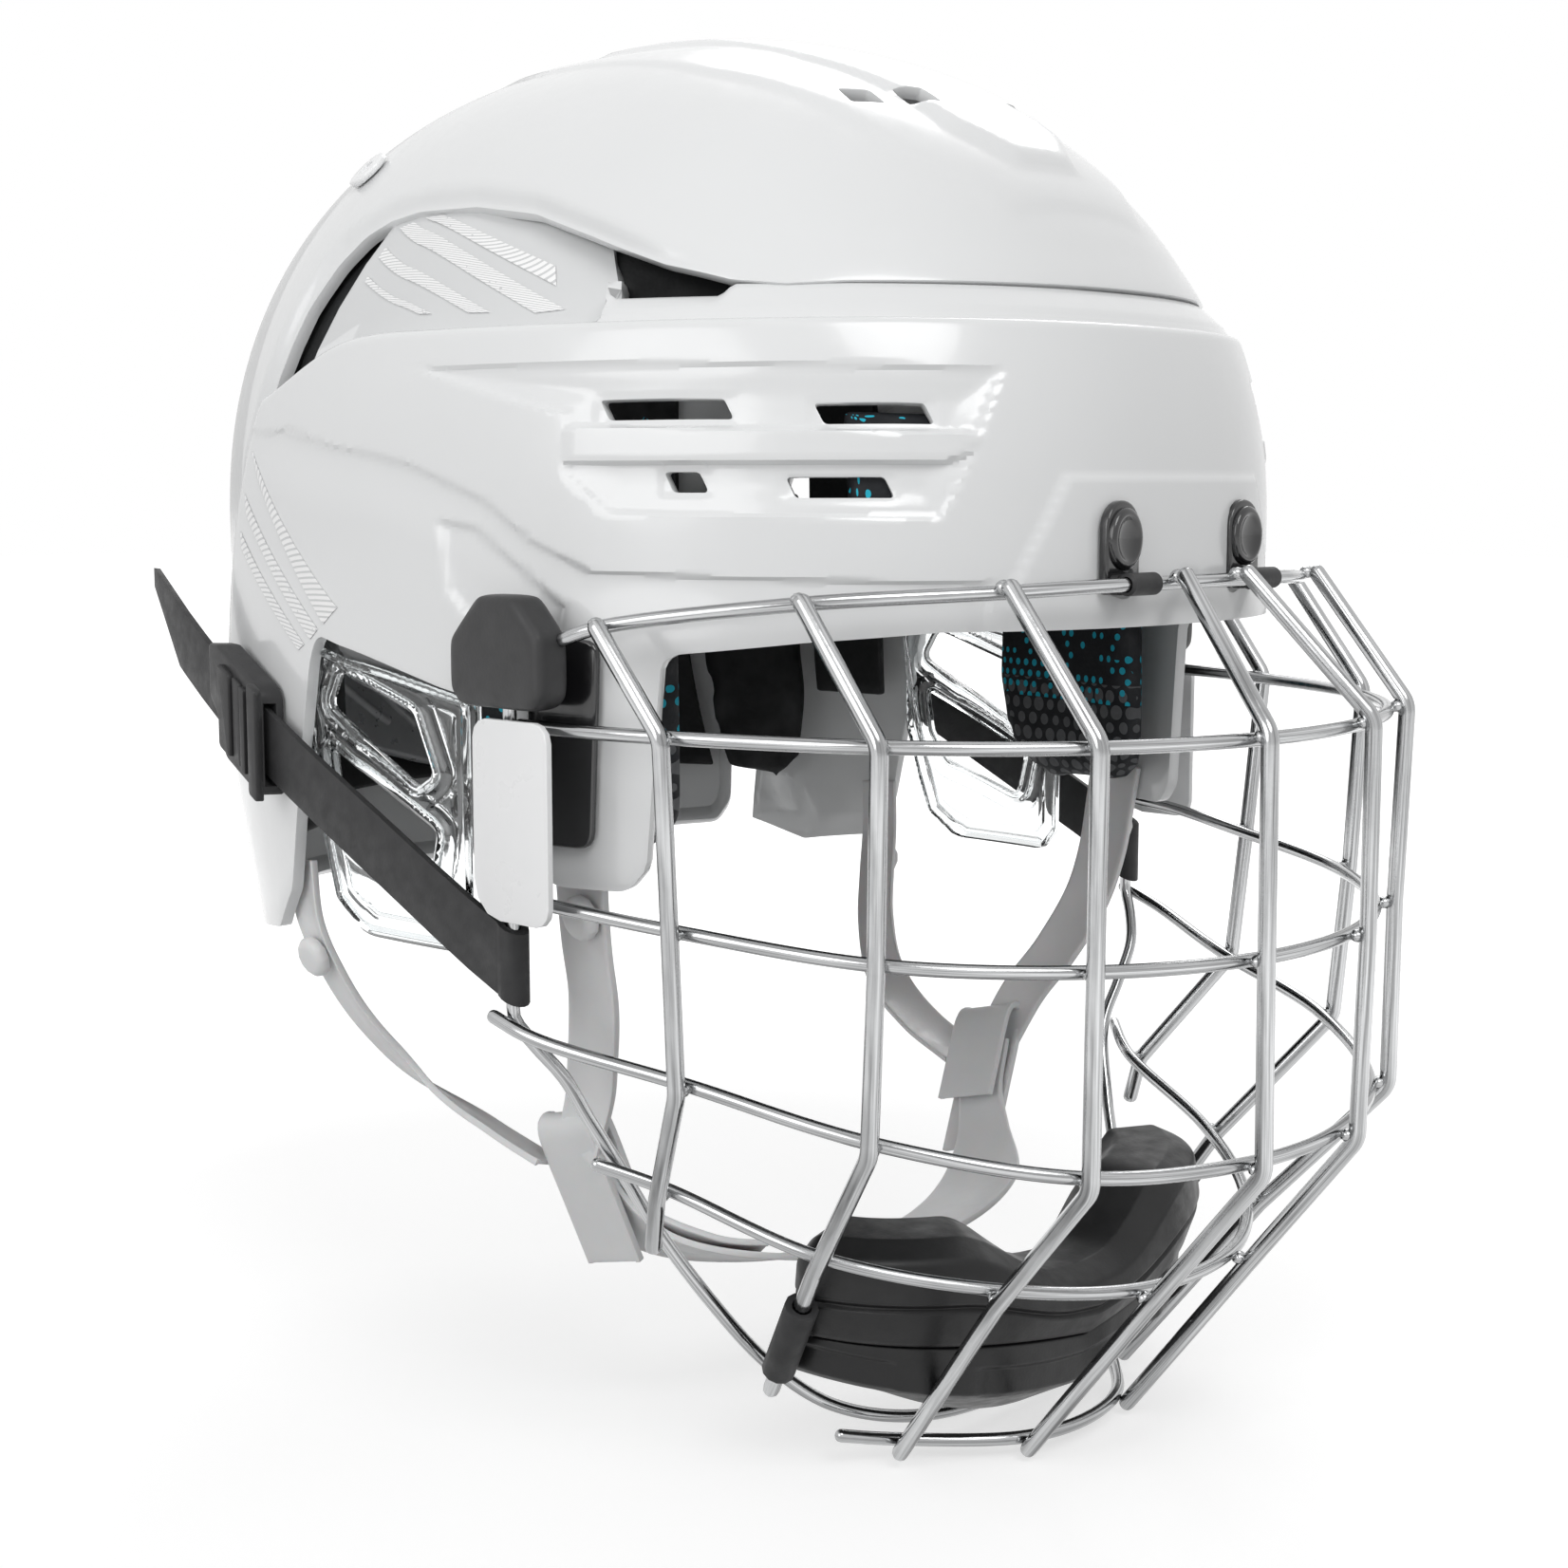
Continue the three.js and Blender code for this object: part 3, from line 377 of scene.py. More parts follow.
def catmull(points, step=2.0):
    """Points along a centripetal curve through the given ones."""
    p = [np.asarray(q, float) for q in points]
    p = [2 * p[0] - p[1], *p, 2 * p[-1] - p[-2]]
    result = [p[1]]
    for a, b, c, d in zip(p, p[1:], p[2:], p[3:]):
        t = np.cumsum([0, *[max(np.linalg.norm(v - u) ** 0.5, 1e-4) for u, v in ((a, b), (b, c), (c, d))]])
        count = max(int(np.linalg.norm(c - b) / step), 2)
        for s in np.linspace(t[1], t[2], count + 1)[1:]:
            a1 = (t[1] - s) / (t[1] - t[0]) * a + (s - t[0]) / (t[1] - t[0]) * b
            a2 = (t[2] - s) / (t[2] - t[1]) * b + (s - t[1]) / (t[2] - t[1]) * c
            a3 = (t[3] - s) / (t[3] - t[2]) * c + (s - t[2]) / (t[3] - t[2]) * d
            b1 = (t[2] - s) / (t[2] - t[0]) * a1 + (s - t[0]) / (t[2] - t[0]) * a2
            b2 = (t[3] - s) / (t[3] - t[1]) * a2 + (s - t[1]) / (t[3] - t[1]) * a3
            result.append((t[2] - s) / (t[2] - t[1]) * b1 + (s - t[1]) / (t[2] - t[1]) * b2)
    return result


def bent(points, radius, count=8):
    """Straight runs with rounded corners."""
    p = [np.asarray(q, float) for q in points]
    result = [p[0]]
    for before, corner, after in zip(p, p[1:], p[2:]):
        u, v = before - corner, after - corner
        lu, lv = np.linalg.norm(u), np.linalg.norm(v)
        turn = math.pi - math.acos(np.clip(u @ v / (lu * lv), -1, 1))
        length = min(radius * math.tan(turn / 2), lu / 2, lv / 2)
        start, end = corner + u / lu * length, corner + v / lv * length
        for t in np.linspace(0, 1, count + 1):
            result.append((1 - t) ** 2 * start + 2 * t * (1 - t) * corner + t * t * end)
    return [*result, p[-1]]


def rectangle(x0, x1, y0, y1):
    return [(x0, y0), (x1, y0), (x1, y1), (x0, y1)]


def turns(step):
    """The angles of a full turn in radians, from a step in degrees."""
    return np.radians(range(0, 360, step))


def filleted(points, radius, count=4):
    """A closed outline with corners rounded by a radius."""
    p = [np.asarray(q, float) for q in points]
    result = []
    for before, corner, after in zip([p[-1], *p], p, [*p[1:], p[0]]):
        run = bent([before + (corner - before) / 2, corner, corner + (after - corner) / 2], radius, count)
        result += run[1:-1]
    return result


WIRE_SIDES = 12
# A wire's rounded end, as (distance along it, radius) in shares of the wire's own radius.
WIRE_END = [(0.0, 1.0), (0.35, 0.94), (0.62, 0.78), (0.8, 0.52), (0.86, 0.1)]


def wire(name, points, diameter):
    """A round wire of this diameter in metres through points in millimetres, with rounded ends."""
    p = [np.asarray(q, float) for q in points]
    r = diameter / MM / 2
    head = (p[0] - p[1]) / np.linalg.norm(p[0] - p[1])
    tail = (p[-1] - p[-2]) / np.linalg.norm(p[-1] - p[-2])
    tip = WIRE_END[-1][0]
    ends = [share for _, share in WIRE_END]
    scales = [*reversed(ends), *[1.0] * (len(p) - 2), *ends]
    p = np.array([*[p[0] + head * (s - tip) * r for s, _ in reversed(WIRE_END)], *p[1:-1],
                  *[p[-1] + tail * (s - tip) * r for s, _ in WIRE_END]])
    tangents = np.gradient(p, axis=0)
    tangents /= np.linalg.norm(tangents, axis=1, keepdims=True)
    side = np.cross(tangents[0], (0.0, 0.0, 1.0) if abs(tangents[0][2]) < 0.9 else (1.0, 0.0, 0.0))
    rings = []
    for point, tangent, scale in zip(p, tangents, scales):
        side = side - tangent * (side @ tangent)
        side /= np.linalg.norm(side)
        up = np.cross(tangent, side)
        turn = np.radians(np.arange(WIRE_SIDES) * 360 / WIRE_SIDES)[:, None]
        rings.append(point + (np.cos(turn) * side + np.sin(turn) * up) * r * scale)
    obj = loft(name, rings)
    length = np.r_[0, np.cumsum(np.linalg.norm(np.diff(p, axis=0), axis=1))]
    # u runs along the wire; v runs round it and sets where the wire material's painted reflection bands lie.
    layer = obj.data.uv_layers.new(name="along")
    for corner, uv in zip(obj.data.loops, layer.data):
        ring, k = divmod(corner.vertex_index, WIRE_SIDES)
        uv.uv = (length[ring], math.sin(math.pi * k / WIRE_SIDES))
    return smoothed(obj, 60)


def loft(name, rings, closed_ends=True):
    """A mesh through closed rings of points in millimetres."""
    count = len(rings[0])
    vertices = [tuple(p) for ring in rings for p in ring]
    faces = []
    for i in range(len(rings) - 1):
        for k in range(count):
            n = (k + 1) % count
            faces.append((i * count + k, i * count + n, (i + 1) * count + n, (i + 1) * count + k))
    if closed_ends:
        faces.append(tuple(range(count)))
        faces.append(tuple(range((len(rings) - 1) * count, len(rings) * count)))
    return solid(name, vertices, faces)


# ---------------------------------------------------------------- materials


class Finish:
    """A procedural material on a Principled shader."""

    def __init__(self, name, colour, roughness, **sockets):
        self.material = bpy.data.materials.new(name)
        self.material.use_nodes = True
        self.tree = self.material.node_tree
        self.shader = next(n for n in self.tree.nodes if n.type == "BSDF_PRINCIPLED")
        self.shader.inputs["Base Color"].default_value = (*colour, 1)
        self.shader.inputs["Roughness"].default_value = roughness
        for key, value in sockets.items():
            self.shader.inputs[key.replace("_", " ")].default_value = value
        self.position = self.node("ShaderNodeTexCoord").outputs["Object"]

    def node(self, kind, inputs=(), **values):
        node = self.tree.nodes.new(kind)
        for key, value in values.items():
            setattr(node, key, value)
        for key, value in dict(inputs).items():
            if hasattr(value, "is_output"):
                self.tree.links.new(value, node.inputs[key])
            else:
                node.inputs[key].default_value = value
        return node

    def math(self, operation, a, b=0.0, c=0.0):
        return self.node("ShaderNodeMath", {0: a, 1: b, 2: c}, operation=operation).outputs[0]

    def parts(self, vector):
        return self.node("ShaderNodeSeparateXYZ", {0: vector}).outputs

    def vector(self, x, y):
        return self.node("ShaderNodeCombineXYZ", {0: x, 1: y}).outputs[0]

    def uv(self):
        return self.node("ShaderNodeUVMap").outputs[0]

    def noise(self, scale, detail=3.0, vector=None):
        inputs = {"Vector": vector or self.position, "Scale": scale, "Detail": detail}
        return self.node("ShaderNodeTexNoise", inputs).outputs["Fac"]

    def cells(self, scale):
        inputs = {"Vector": self.position, "Scale": scale}
        return self.node("ShaderNodeTexVoronoi", inputs).outputs["Distance"]

    def between(self, factor, low, high):
        """The value from low to high that a noise picks, which keeps to about 0.3 to 0.7."""
        return self.node("ShaderNodeMapRange", {0: factor, 1: 0.3, 2: 0.7, 3: low, 4: high}).outputs[0]

    def blend(self, factor, a, b):
        node = self.node("ShaderNodeMix", {"Factor": factor}, data_type="RGBA")
        for socket, value in ((node.inputs[6], a), (node.inputs[7], b)):
            if hasattr(value, "is_output"):
                self.tree.links.new(value, socket)
            else:
                socket.default_value = (*value, 1)
        return node.outputs[2]

    def into(self, socket, value):
        self.tree.links.new(value, self.shader.inputs[socket])
        return self

    def bump(self, height, distance):
        """Bumps of a height in millimetres; more than one call adds them up."""
        inputs = {"Height": height, "Distance": distance * MM, "Strength": 1.0}
        node = self.node("ShaderNodeBump", inputs)
        if self.shader.inputs["Normal"].is_linked:
            self.tree.links.new(self.shader.inputs["Normal"].links[0].from_socket, node.inputs["Normal"])
        return self.into("Normal", node.outputs[0])

    def mottled(self, colour, scale, detail, dark, light):
        """A base colour that wanders between two shades of one colour."""
        noise = self.noise(scale, detail)
        return self.into("Base Color", self.blend(noise, shade(colour, dark), shade(colour, light)))

    def worn(self, scale, detail, low, high):
        """A roughness that wanders between two values."""
        return self.into("Roughness", self.between(self.noise(scale, detail), low, high))


def shade(colour, factor):
    return tuple(min(c * factor, 1) for c in colour)


def moulded_white(name, colour, low=0.17, high=0.27, coat=0.35):
    """Injection-moulded plastic with a faint waviness and grain."""
    m = Finish(name, colour, low, Coat_Weight=coat, Coat_Roughness=0.08)
    m.mottled(colour, 22, 2, 0.975, 1.02)
    m.worn(140, 4, low, high)
    m.bump(m.noise(420, 2), 0.02)
    m.bump(m.noise(35, 2), 0.05)
    return m.material


def hatched_print(name, paint, ground):
    """Slanting hatch lines along the piece's own length."""
    m = Finish(name, paint, 0.35)
    u, v, _ = m.parts(m.uv())
    lines = m.math("FRACT", m.math("MULTIPLY_ADD", v, 0.6, u))
    mask = m.math("GREATER_THAN", lines, 0.36)
    worn = m.math("GREATER_THAN", m.noise(700, 2), 0.3)
    m.into("Base Color", m.blend(m.math("MULTIPLY", mask, worn), ground, paint))
    m.worn(200, 3, 0.28, 0.45)
    m.bump(mask, 0.03)
    return m.material


def plated_wire_painted_reflections(name, colour):
    """Bright plating with painted reflections: dark and light bands at set places round the wire, wandering
    slowly along it, stand in for the studio's reflections; the same bands raise faint grooves.
    """
    m = Finish(name, colour, 0.17, Metallic=1.0)
    u, v, _ = m.parts(m.uv())
    # Painted reflection: bands placed round the wire by the UV map's v and stretched along its length by u.
    lines = m.noise(1.0, 2, m.vector(m.math("MULTIPLY", u, 0.012), m.math("MULTIPLY", v, 5.0)))
    fine = m.noise(1.0, 3, m.vector(m.math("MULTIPLY", u, 0.05), m.math("MULTIPLY", v, 17.0)))
    painted_reflection_tone = m.math("MULTIPLY_ADD", fine, 0.35, m.math("MULTIPLY", lines, 0.65))
    # The painted reflection bands darken and lighten the base colour.
    m.into("Base Color", m.blend(m.between(painted_reflection_tone, -0.1, 1.1), shade(colour, 0.3), shade(colour, 1.55)))
    m.worn(420, 4, 0.12, 0.22)
    m.bump(painted_reflection_tone, 0.02)
    m.bump(m.noise(900, 3), 0.012)
    return m.material


def smooth_strap(name, colour):
    """Satin moulded strap with a faint grain."""
    m = Finish(name, colour, 0.42, Subsurface_Weight=0.12, Subsurface_Scale=0.002)
    m.mottled(colour, 60, 3, 0.94, 1.05)
    m.worn(300, 3, 0.34, 0.52)
    m.bump(m.noise(1200, 2), 0.03)
    m.bump(m.noise(60, 2), 0.12)
    return m.material


def matte_rubber(name, colour, low=0.48, high=0.66):
    """Dull black rubber or plastic with a fine grain."""
    m = Finish(name, colour, low, Specular_IOR_Level=0.4)
    m.mottled(colour, 90, 3, 0.85, 1.25)
    m.worn(260, 4, low, high)
    m.bump(m.noise(1400, 3), 0.035)
    return m.material


def gloss_black(name, colour):
    """Polished black plastic."""
    m = Finish(name, colour, 0.14, Coat_Weight=0.5, Coat_Roughness=0.06)
    m.mottled(colour, 120, 3, 0.8, 1.4)
    m.worn(330, 4, 0.1, 0.24)
    m.bump(m.noise(700, 2), 0.01)
    return m.material


# Printed dots: grid pitch, lowest and highest place in metres, radius in pitches, and how rare they are.
GREY_DOTS = (0.0046, -0.2, -0.031, 0.42, 0.36)
COLOUR_DOTS = (0.0033, -0.036, 0.2, 0.29, 0.6)
GREY_DOT = (0.11, 0.113, 0.118)
ROW = 0.866  # distance between the rows of a honeycomb whose pitch is 1


def dot_mask(m, pitch, low, high, share, rarity):
    """1 in the dots of a honeycomb over the piece's UV map, with dots of many sizes, left out in patches."""
    u, v, _ = m.parts(m.uv())
    row = m.math("DIVIDE", v, pitch * ROW)
    odd = m.math("MODULO", m.math("FLOOR", m.math("ADD", row, 400.0)), 2.0)
    column = m.math("MULTIPLY_ADD", odd, 0.5, m.math("DIVIDE", u, pitch))
    across = m.math("SUBTRACT", m.math("FRACT", column), 0.5)
    up = m.math("MULTIPLY", m.math("SUBTRACT", m.math("FRACT", row), 0.5), ROW)
    radius = m.math("SQRT", m.math("MULTIPLY_ADD", across, across, m.math("MULTIPLY", up, up)))
    cell = m.vector(m.math("FLOOR", column), m.math("FLOOR", row))
    chance = m.node("ShaderNodeTexWhiteNoise", {"Vector": cell}, noise_dimensions="2D").outputs[0]
    size = m.math("MULTIPLY", m.math("MULTIPLY_ADD", chance, 0.35, 0.65), share)
    patch = m.math("MULTIPLY", m.noise(26, 2), 0.72)
    here = m.math("GREATER_THAN", m.math("MULTIPLY_ADD", chance, 0.42, patch), rarity)
    band = m.math("MULTIPLY", m.math("GREATER_THAN", v, low), m.math("LESS_THAN", v, high))
    return m.math("MULTIPLY", m.math("LESS_THAN", radius, size), m.math("MULTIPLY", here, band))


def closed_cell_foam(name, colour, dots=None):
    """Black foam, printed with grey and coloured dots where a dot colour is given."""
    m = Finish(name, colour, 0.75, Specular_IOR_Level=0.22)
    ground = m.blend(m.noise(120, 4), shade(colour, 0.6), shade(colour, 1.6))
    m.bump(m.cells(1100), 0.05)
    m.bump(m.noise(90, 2), 0.25)
    if dots:
        for pattern, paint in ((GREY_DOTS, GREY_DOT), (COLOUR_DOTS, dots)):
            ground = m.blend(dot_mask(m, *pattern), ground, paint)
    m.into("Base Color", ground)
    m.worn(200, 3, 0.5, 0.8)
    return m.material


def clear_plastic(name):
    m = Finish(name, (0.94, 0.96, 0.965), 0.05, Transmission_Weight=1.0, IOR=1.46)
    m.worn(120, 3, 0.02, 0.09)
    m.bump(m.noise(70, 2), 0.06)
    return m.material


def smoky_plastic(name):
    m = Finish(name, (0.42, 0.43, 0.44), 0.3, Transmission_Weight=0.55, IOR=1.45)
    m.into("Base Color", m.blend(m.noise(60, 3), (0.34, 0.35, 0.36), (0.5, 0.51, 0.52)))
    m.worn(300, 3, 0.25, 0.42)
    m.bump(m.noise(500, 2), 0.03)
    return m.material


def soft_plastic(name, colour):
    m = Finish(name, colour, 0.4, Subsurface_Weight=0.1, Subsurface_Scale=0.002)
    m.mottled(colour, 70, 3, 0.95, 1.04)
    m.worn(260, 3, 0.33, 0.5)
    m.bump(m.noise(600, 2), 0.03)
    return m.material


MATERIALS = {}


def make_materials():
    s = settings()
    shell, recess = tuple(s.shell_colour), tuple(s.recess_colour)
    MATERIALS.update(
        strap=smooth_strap("strap_plastic", (0.76, 0.765, 0.77)),
        shell=moulded_white("shell_white", shell),
        recess=moulded_white("recess_grey", recess, 0.3, 0.42, 0.1),
        hatch=hatched_print("hatched_print", (0.95, 0.95, 0.95), shade(recess, 0.94)),
        hatch_pale=hatched_print("hatched_print_pale", (0.95, 0.95, 0.95), shade(shell, 0.84)),
        # Plated wire whose colour carries painted reflections.
        wire=plated_wire_painted_reflections("plated_wire_painted_reflections", tuple(s.wire_colour)),
        rubber=matte_rubber("strap_rubber", (0.021, 0.021, 0.022)),
        bumper=matte_rubber("bumper_rubber", (0.028, 0.028, 0.029), 0.38, 0.55),
        black=gloss_black("gloss_black", (0.012, 0.012, 0.013)),
        cup=matte_rubber("cup_plastic", (0.0085, 0.0085, 0.009), 0.3, 0.45),
        cushion=matte_rubber("cup_cushion_skin", (0.0095, 0.0095, 0.01), 0.36, 0.52),
        foam=closed_cell_foam("black_foam", (0.009, 0.0095, 0.01)),
        dotted=closed_cell_foam("dotted_foam", (0.009, 0.01, 0.012), tuple(s.dot_colour)),
        clear=clear_plastic("clear_guard"),
        smoke=smoky_plastic("smoky_cradle"),
        soft=soft_plastic("soft_white", (0.78, 0.785, 0.79)),
        label=moulded_white("label_white", (0.88, 0.885, 0.89), 0.25, 0.4, 0.1),
    )


# ---------------------------------------------------------------- shells

# Lower edge of the front shell, [bearing, z]: brow, temple tab, ear arch, and the lobe behind the ear.
RIM = [[0, -9], [29, -9], [43, -11], [57, -14], [58.5, -57], [60.5, -62], [68, -62], [70, -57], [72, -26],
       [77, -24], [98.6, -13], [99.6, -20], [100.3, -50], [101.5, -72], [106, -82], [118, -84], [128, -78]]
DOME_EDGE = [[0, 60], [37, 59.6], [44, 59], [50.3, 60], [57.7, 64], [67, 71.5], [75.2, 77.5], [84, 80.5],
             [91.5, 81], [96, 79.5], [99.8, 76.5], [103, 70.5], [106.4, 60], [112, 30], [131, -74], [135, -80],
             [180, -84]]
FRONT_TOP = [[0, 59.4], [50, 59.4], [51.5, 57], [63.5, 57], [65.3, 65.5], [67, 79], [84, 90], [128, 90]]
SLOTS = [(50, 63.5, 32, 36), (29.5, 42, 31, 35), (52.5, 57, 18, 22), (34, 45, 17, 21)]
CROWN_VENTS = [(10, 17, 99, 102.4), (21, 28, 99, 102.4)]
RECESS = [(83, 43), (57, 42.5), (22, 41), (29.5, 13), (62, 14), (66.5, 22), (66, 33), (72, 36)]
RIB = [(74, 32.5), (66, 31), (26.5, 29.5), (23.5, 27), (28.5, 23.5), (66, 23.5)]
LOWER_LINE = [(99, 31), (83, 23), (75, 16), (70, 8), (64, 2), (48, 1), (24, 0)]
BROW_PANEL = [(-15.5, 21), (15.5, 21), (20, 6), (22.5, -3), (23, -12), (-23, -12), (-22.5, -3), (-20, 6)]
TRIANGLE = [(80, 12.5), (76, 11), (66.5, -5), (68, -9), (76, -10), (79, -2)]
# How deep or proud the band's features are.
RECESS_STEP, RECESS_SLOPE, RIB_PROUD, SLOT_DISH = 1.0, 1.1, 0.3, 0.5
LINE_DEPTH, LINE_KEPT, PANEL_PROUD, TRIANGLE_DEPTH = 1.0, 0.25, 0.8, 1.1
SHEET_THICKNESS = 0.93 * WALL * MM  # of a shell, which its relief thins or thickens


def along(line, x):
    """The height of an edge line at a bearing."""
    return np.interp(x, [p[0] for p in line], [p[1] for p in line])


def softened(line, radius):
    """An edge line of (bearing, z) corners with each corner rounded."""
    scaled = [np.array([b * DEGREE, z]) for b, z in line]
    curve = bent(scaled, radius, 5)
    kept = [curve[0]]
    for point in curve[1:]:
        if point[0] > kept[-1][0] + 0.02:
            kept.append(point)
    return [(b / DEGREE, z) for b, z in kept]


RIM = softened(RIM, 5)
DOME_EDGE = softened(DOME_EDGE, 12)


def spread(values, least):
    """Sorted values without those that crowd closer than a least distance."""
    kept = []
    for value in sorted(values):
        if not kept or value - kept[-1] >= least:
            kept.append(value)
    return kept


def band_relief(bearing, z):
    """How far the brow band's panels stand out of it or are let into it."""
    b = np.abs(bearing)
    into = distance_inside(RECESS, b, z)
    rib = smoothstep(-0.3, 0.7, distance_inside(RIB, b, z))
    sunk = RECESS_STEP * smoothstep(-0.3, 0.7, into) + RECESS_SLOPE * smoothstep(0.5, 6.5, into)
    relief = RIB_PROUD * rib * (into > 0) - sunk * (1 - rib)
    for b0, b1, z0, z1 in SLOTS:
        inside = distance_inside(rectangle(b0, b1, z0, z1), b, z)
        relief -= SLOT_DISH * smoothstep(-1.2, 0.2, inside)
    line = distance_to_line(LOWER_LINE, b, z)
    below = z < along(sorted(LOWER_LINE), b)
    lower = 1 - (1 - LINE_KEPT) * smoothstep(1, 14, line)
    upper = 1 - smoothstep(0, 0.8, line)
    relief -= LINE_DEPTH * np.where(below, lower, upper) * (b > LOWER_LINE[-1][0])
    relief += PANEL_PROUD * smoothstep(-0.4, 0.6, distance_inside(BROW_PANEL, bearing, z))
    relief -= TRIANGLE_DEPTH * smoothstep(-0.4, 1.0, distance_inside(TRIANGLE, b, z))
    return relief


LEAN_FROM = 80  # the columns of the front shell's grid lean back from this one
LAST_COLUMN = RIM[-1][0]


def shell_end(z):
    """The bearing of the front shell's rear edge, which lies further back lower down."""
    return 98 + (71 - z) * 0.2


def front_bearing(column, z):
    """The bearing of a column of the front shell's grid at a height."""
    angle = np.abs(column)
    leaning = LEAN_FROM + (angle - LEAN_FROM) * (shell_end(z) - LEAN_FROM) / (LAST_COLUMN - LEAN_FROM)
    return np.sign(column) * np.where(angle > LEAN_FROM, leaning, angle)


def flange_off(bearing):
    """How far off the skin the wall above the ledge lies, with room for the dome to slide back."""
    forward = np.maximum(-skin_normal(bearing, station_of(np.full(bearing.shape, float(LEDGE))))[..., 1], 0)
    return -(WALL + 2 * SEAM + FLANGE_TRAVEL * forward)


BROW_ROW = -5  # rows above this height are level
LEDGE_CORNER = 1.8  # radius of the band's upper edge
SHELF_OFF = 2.6  # how far off the skin the shelf ends under the dome
FLANGED = (63.6, 65.2)  # the shelf runs into the flange behind the dome between these bearings


def ledge_at(angle):
    """The top of the band, which rounds off behind the ear."""
    return LEDGE - 13 * smoothstep(86, 104, angle) ** 1.5


def front_place(column, row):
    """Row 0 to 1 is the wall below the ledge, 1 to 2 its rounded corner and shelf, 2 to 3 what is above."""
    angle, corner = np.abs(column), LEDGE_CORNER
    low, top = along(RIM, angle), along(FRONT_TOP, angle)
    flanged = smoothstep(*FLANGED, angle)
    ledge = ledge_at(np.abs(front_bearing(column, LEDGE)))
    shelf_off = SHELF_OFF + (flange_off(front_bearing(column, ledge)) - SHELF_OFF) * flanged
    edge_off = -SEAM + (shelf_off + SEAM) * flanged
    t = np.clip(row / 0.25, 0, 1)
    z = low + (BROW_ROW - low) * t
    t = np.clip((row - 0.25) / 0.75, 0, 1)
    z = np.where(row > 0.25, BROW_ROW + (ledge - corner - BROW_ROW) * t, z)
    off = BAND + band_relief(front_bearing(column, z), z)
    turn = np.radians(90 * np.clip((row - 1) / 0.5, 0, 1))
    z = np.where(row > 1, ledge - corner + corner * np.sin(turn), z)
    off = np.where(row > 1, BAND - corner + corner * np.cos(turn), off)
    t = np.clip((row - 1.5) / 0.5, 0, 1)
    z = np.where(row > 1.5, ledge + STEP * t, z)
    off = np.where(row > 1.5, BAND - corner + (shelf_off - BAND + corner) * smoothstep(0, 1, t), off)
    t = np.clip(row - 2, 0, 1)
    z = np.where(row > 2, ledge + STEP + (top - ledge - STEP) * t, z)
    off = np.where(row > 2, shelf_off + (edge_off - shelf_off) * t, off)
    return off_skin(front_bearing(column, z), z, off)


def slot_cutter(b0, b1, z0, z1, side, lean=1.0, radius=1.5):
    """A slanting bar with rounded corners through the wall."""
    outline = filleted([(b0 * DEGREE, z0), ((b1 - lean) * DEGREE, z0), (b1 * DEGREE, z1),
                        ((b0 + lean) * DEGREE, z1)], radius)
    rings = [[tuple(off_skin(side * b / DEGREE, z, off)) for b, z in outline] for off in (-14, BAND + 5)]
    return loft("slot_cutter", rings)


# The clip's pocket in metres: its height, and how much wider and deeper it is than the clip.
POCKET_HEIGHT, POCKET_WIDER, POCKET_DEEPER = 0.0225, 0.0021, 0.00135


def clip_pocket(side):
    """The hollow in the brow panel that a clip's tongue sits in."""
    low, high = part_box("brow_clip_" + ("left" if side > 0 else "right"))
    size = (high.x - low.x + POCKET_WIDER, 2 * (high.y - low.y + POCKET_DEEPER), POCKET_HEIGHT)
    block = primitive(bpy.ops.mesh.primitive_cube_add, size, size=1,
                      location=((low.x + high.x) / 2, low.y - 0.002, high.z - 0.0112))
    return bevelled(block, 4.2, 4)


def cut_by(obj, cutters):
    """Takes the cutters out of an object and removes them."""
    cutter = joined(cutters, "cutter")
    modified(obj, "BOOLEAN", operation="DIFFERENCE", object=cutter, solver="MANIFOLD")
    bpy.data.objects.remove(cutter)
    return obj


def front_shell():
    fine = [*[b for b, _ in RIM], *np.arange(0, 86, 0.7), *np.arange(86, LAST_COLUMN, 1.4)]
    half = spread([*fine, 64, 64.6, FLANGED[1]], 0.24)
    half[-1] = LAST_COLUMN
    columns = [-c for c in half[:0:-1]] + half
    rows = [*np.linspace(0, 0.25, 12)[:-1], *np.linspace(0.25, 1, 72), 1.12, 1.25, 1.38, 1.5, 1.62, 1.75, 1.87,
            2, 2.2, 2.4, 2.6, 2.8, 3]
    shell = skin_sheet("front_shell_skin", columns, rows, front_place)
    modified(shell, "SOLIDIFY", thickness=SHEET_THICKNESS, offset=-1)
    cutters = [slot_cutter(*slot, side) for slot in SLOTS for side in SIDES.values()]
    cut_by(shell, cutters + [clip_pocket(side) for side in SIDES.values()])
    smoothed(bevelled(shell, settings().edge_radius / MM, 2, 55), 32)
    finished(shell, MATERIALS["shell"], "shell", "helmet", "front_shell")
    shell.data.materials.append(MATERIALS["recess"])
    for polygon in shell.data.polygons:
        x, y, z = (v / MM for v in polygon.center)
        if z > LEDGE + 0.6 and abs(x) > 60 and y > -60 and abs(polygon.normal.x) > 0.35:
            polygon.material_index = 1


# The raised tongue along the crown and the step round it, seen from above.
TONGUE = [(-10, -108), (10, -108), (19, -98), (25, -60), (22, 10), (-22, 10), (-25, -60), (-19, -98)]
TONGUE_BORDER = [(-24, -117), (24, -117), (37, -98), (44, -50), (40, 20), (-40, 20), (-44, -50), (-37, -98)]


def flat_distance(outline, x, y):
    """Millimetres inside an outline that is drawn flat, as seen from above."""
    return distance_inside([(a / DEGREE, b) for a, b in outline], np.asarray(x) / DEGREE, y)


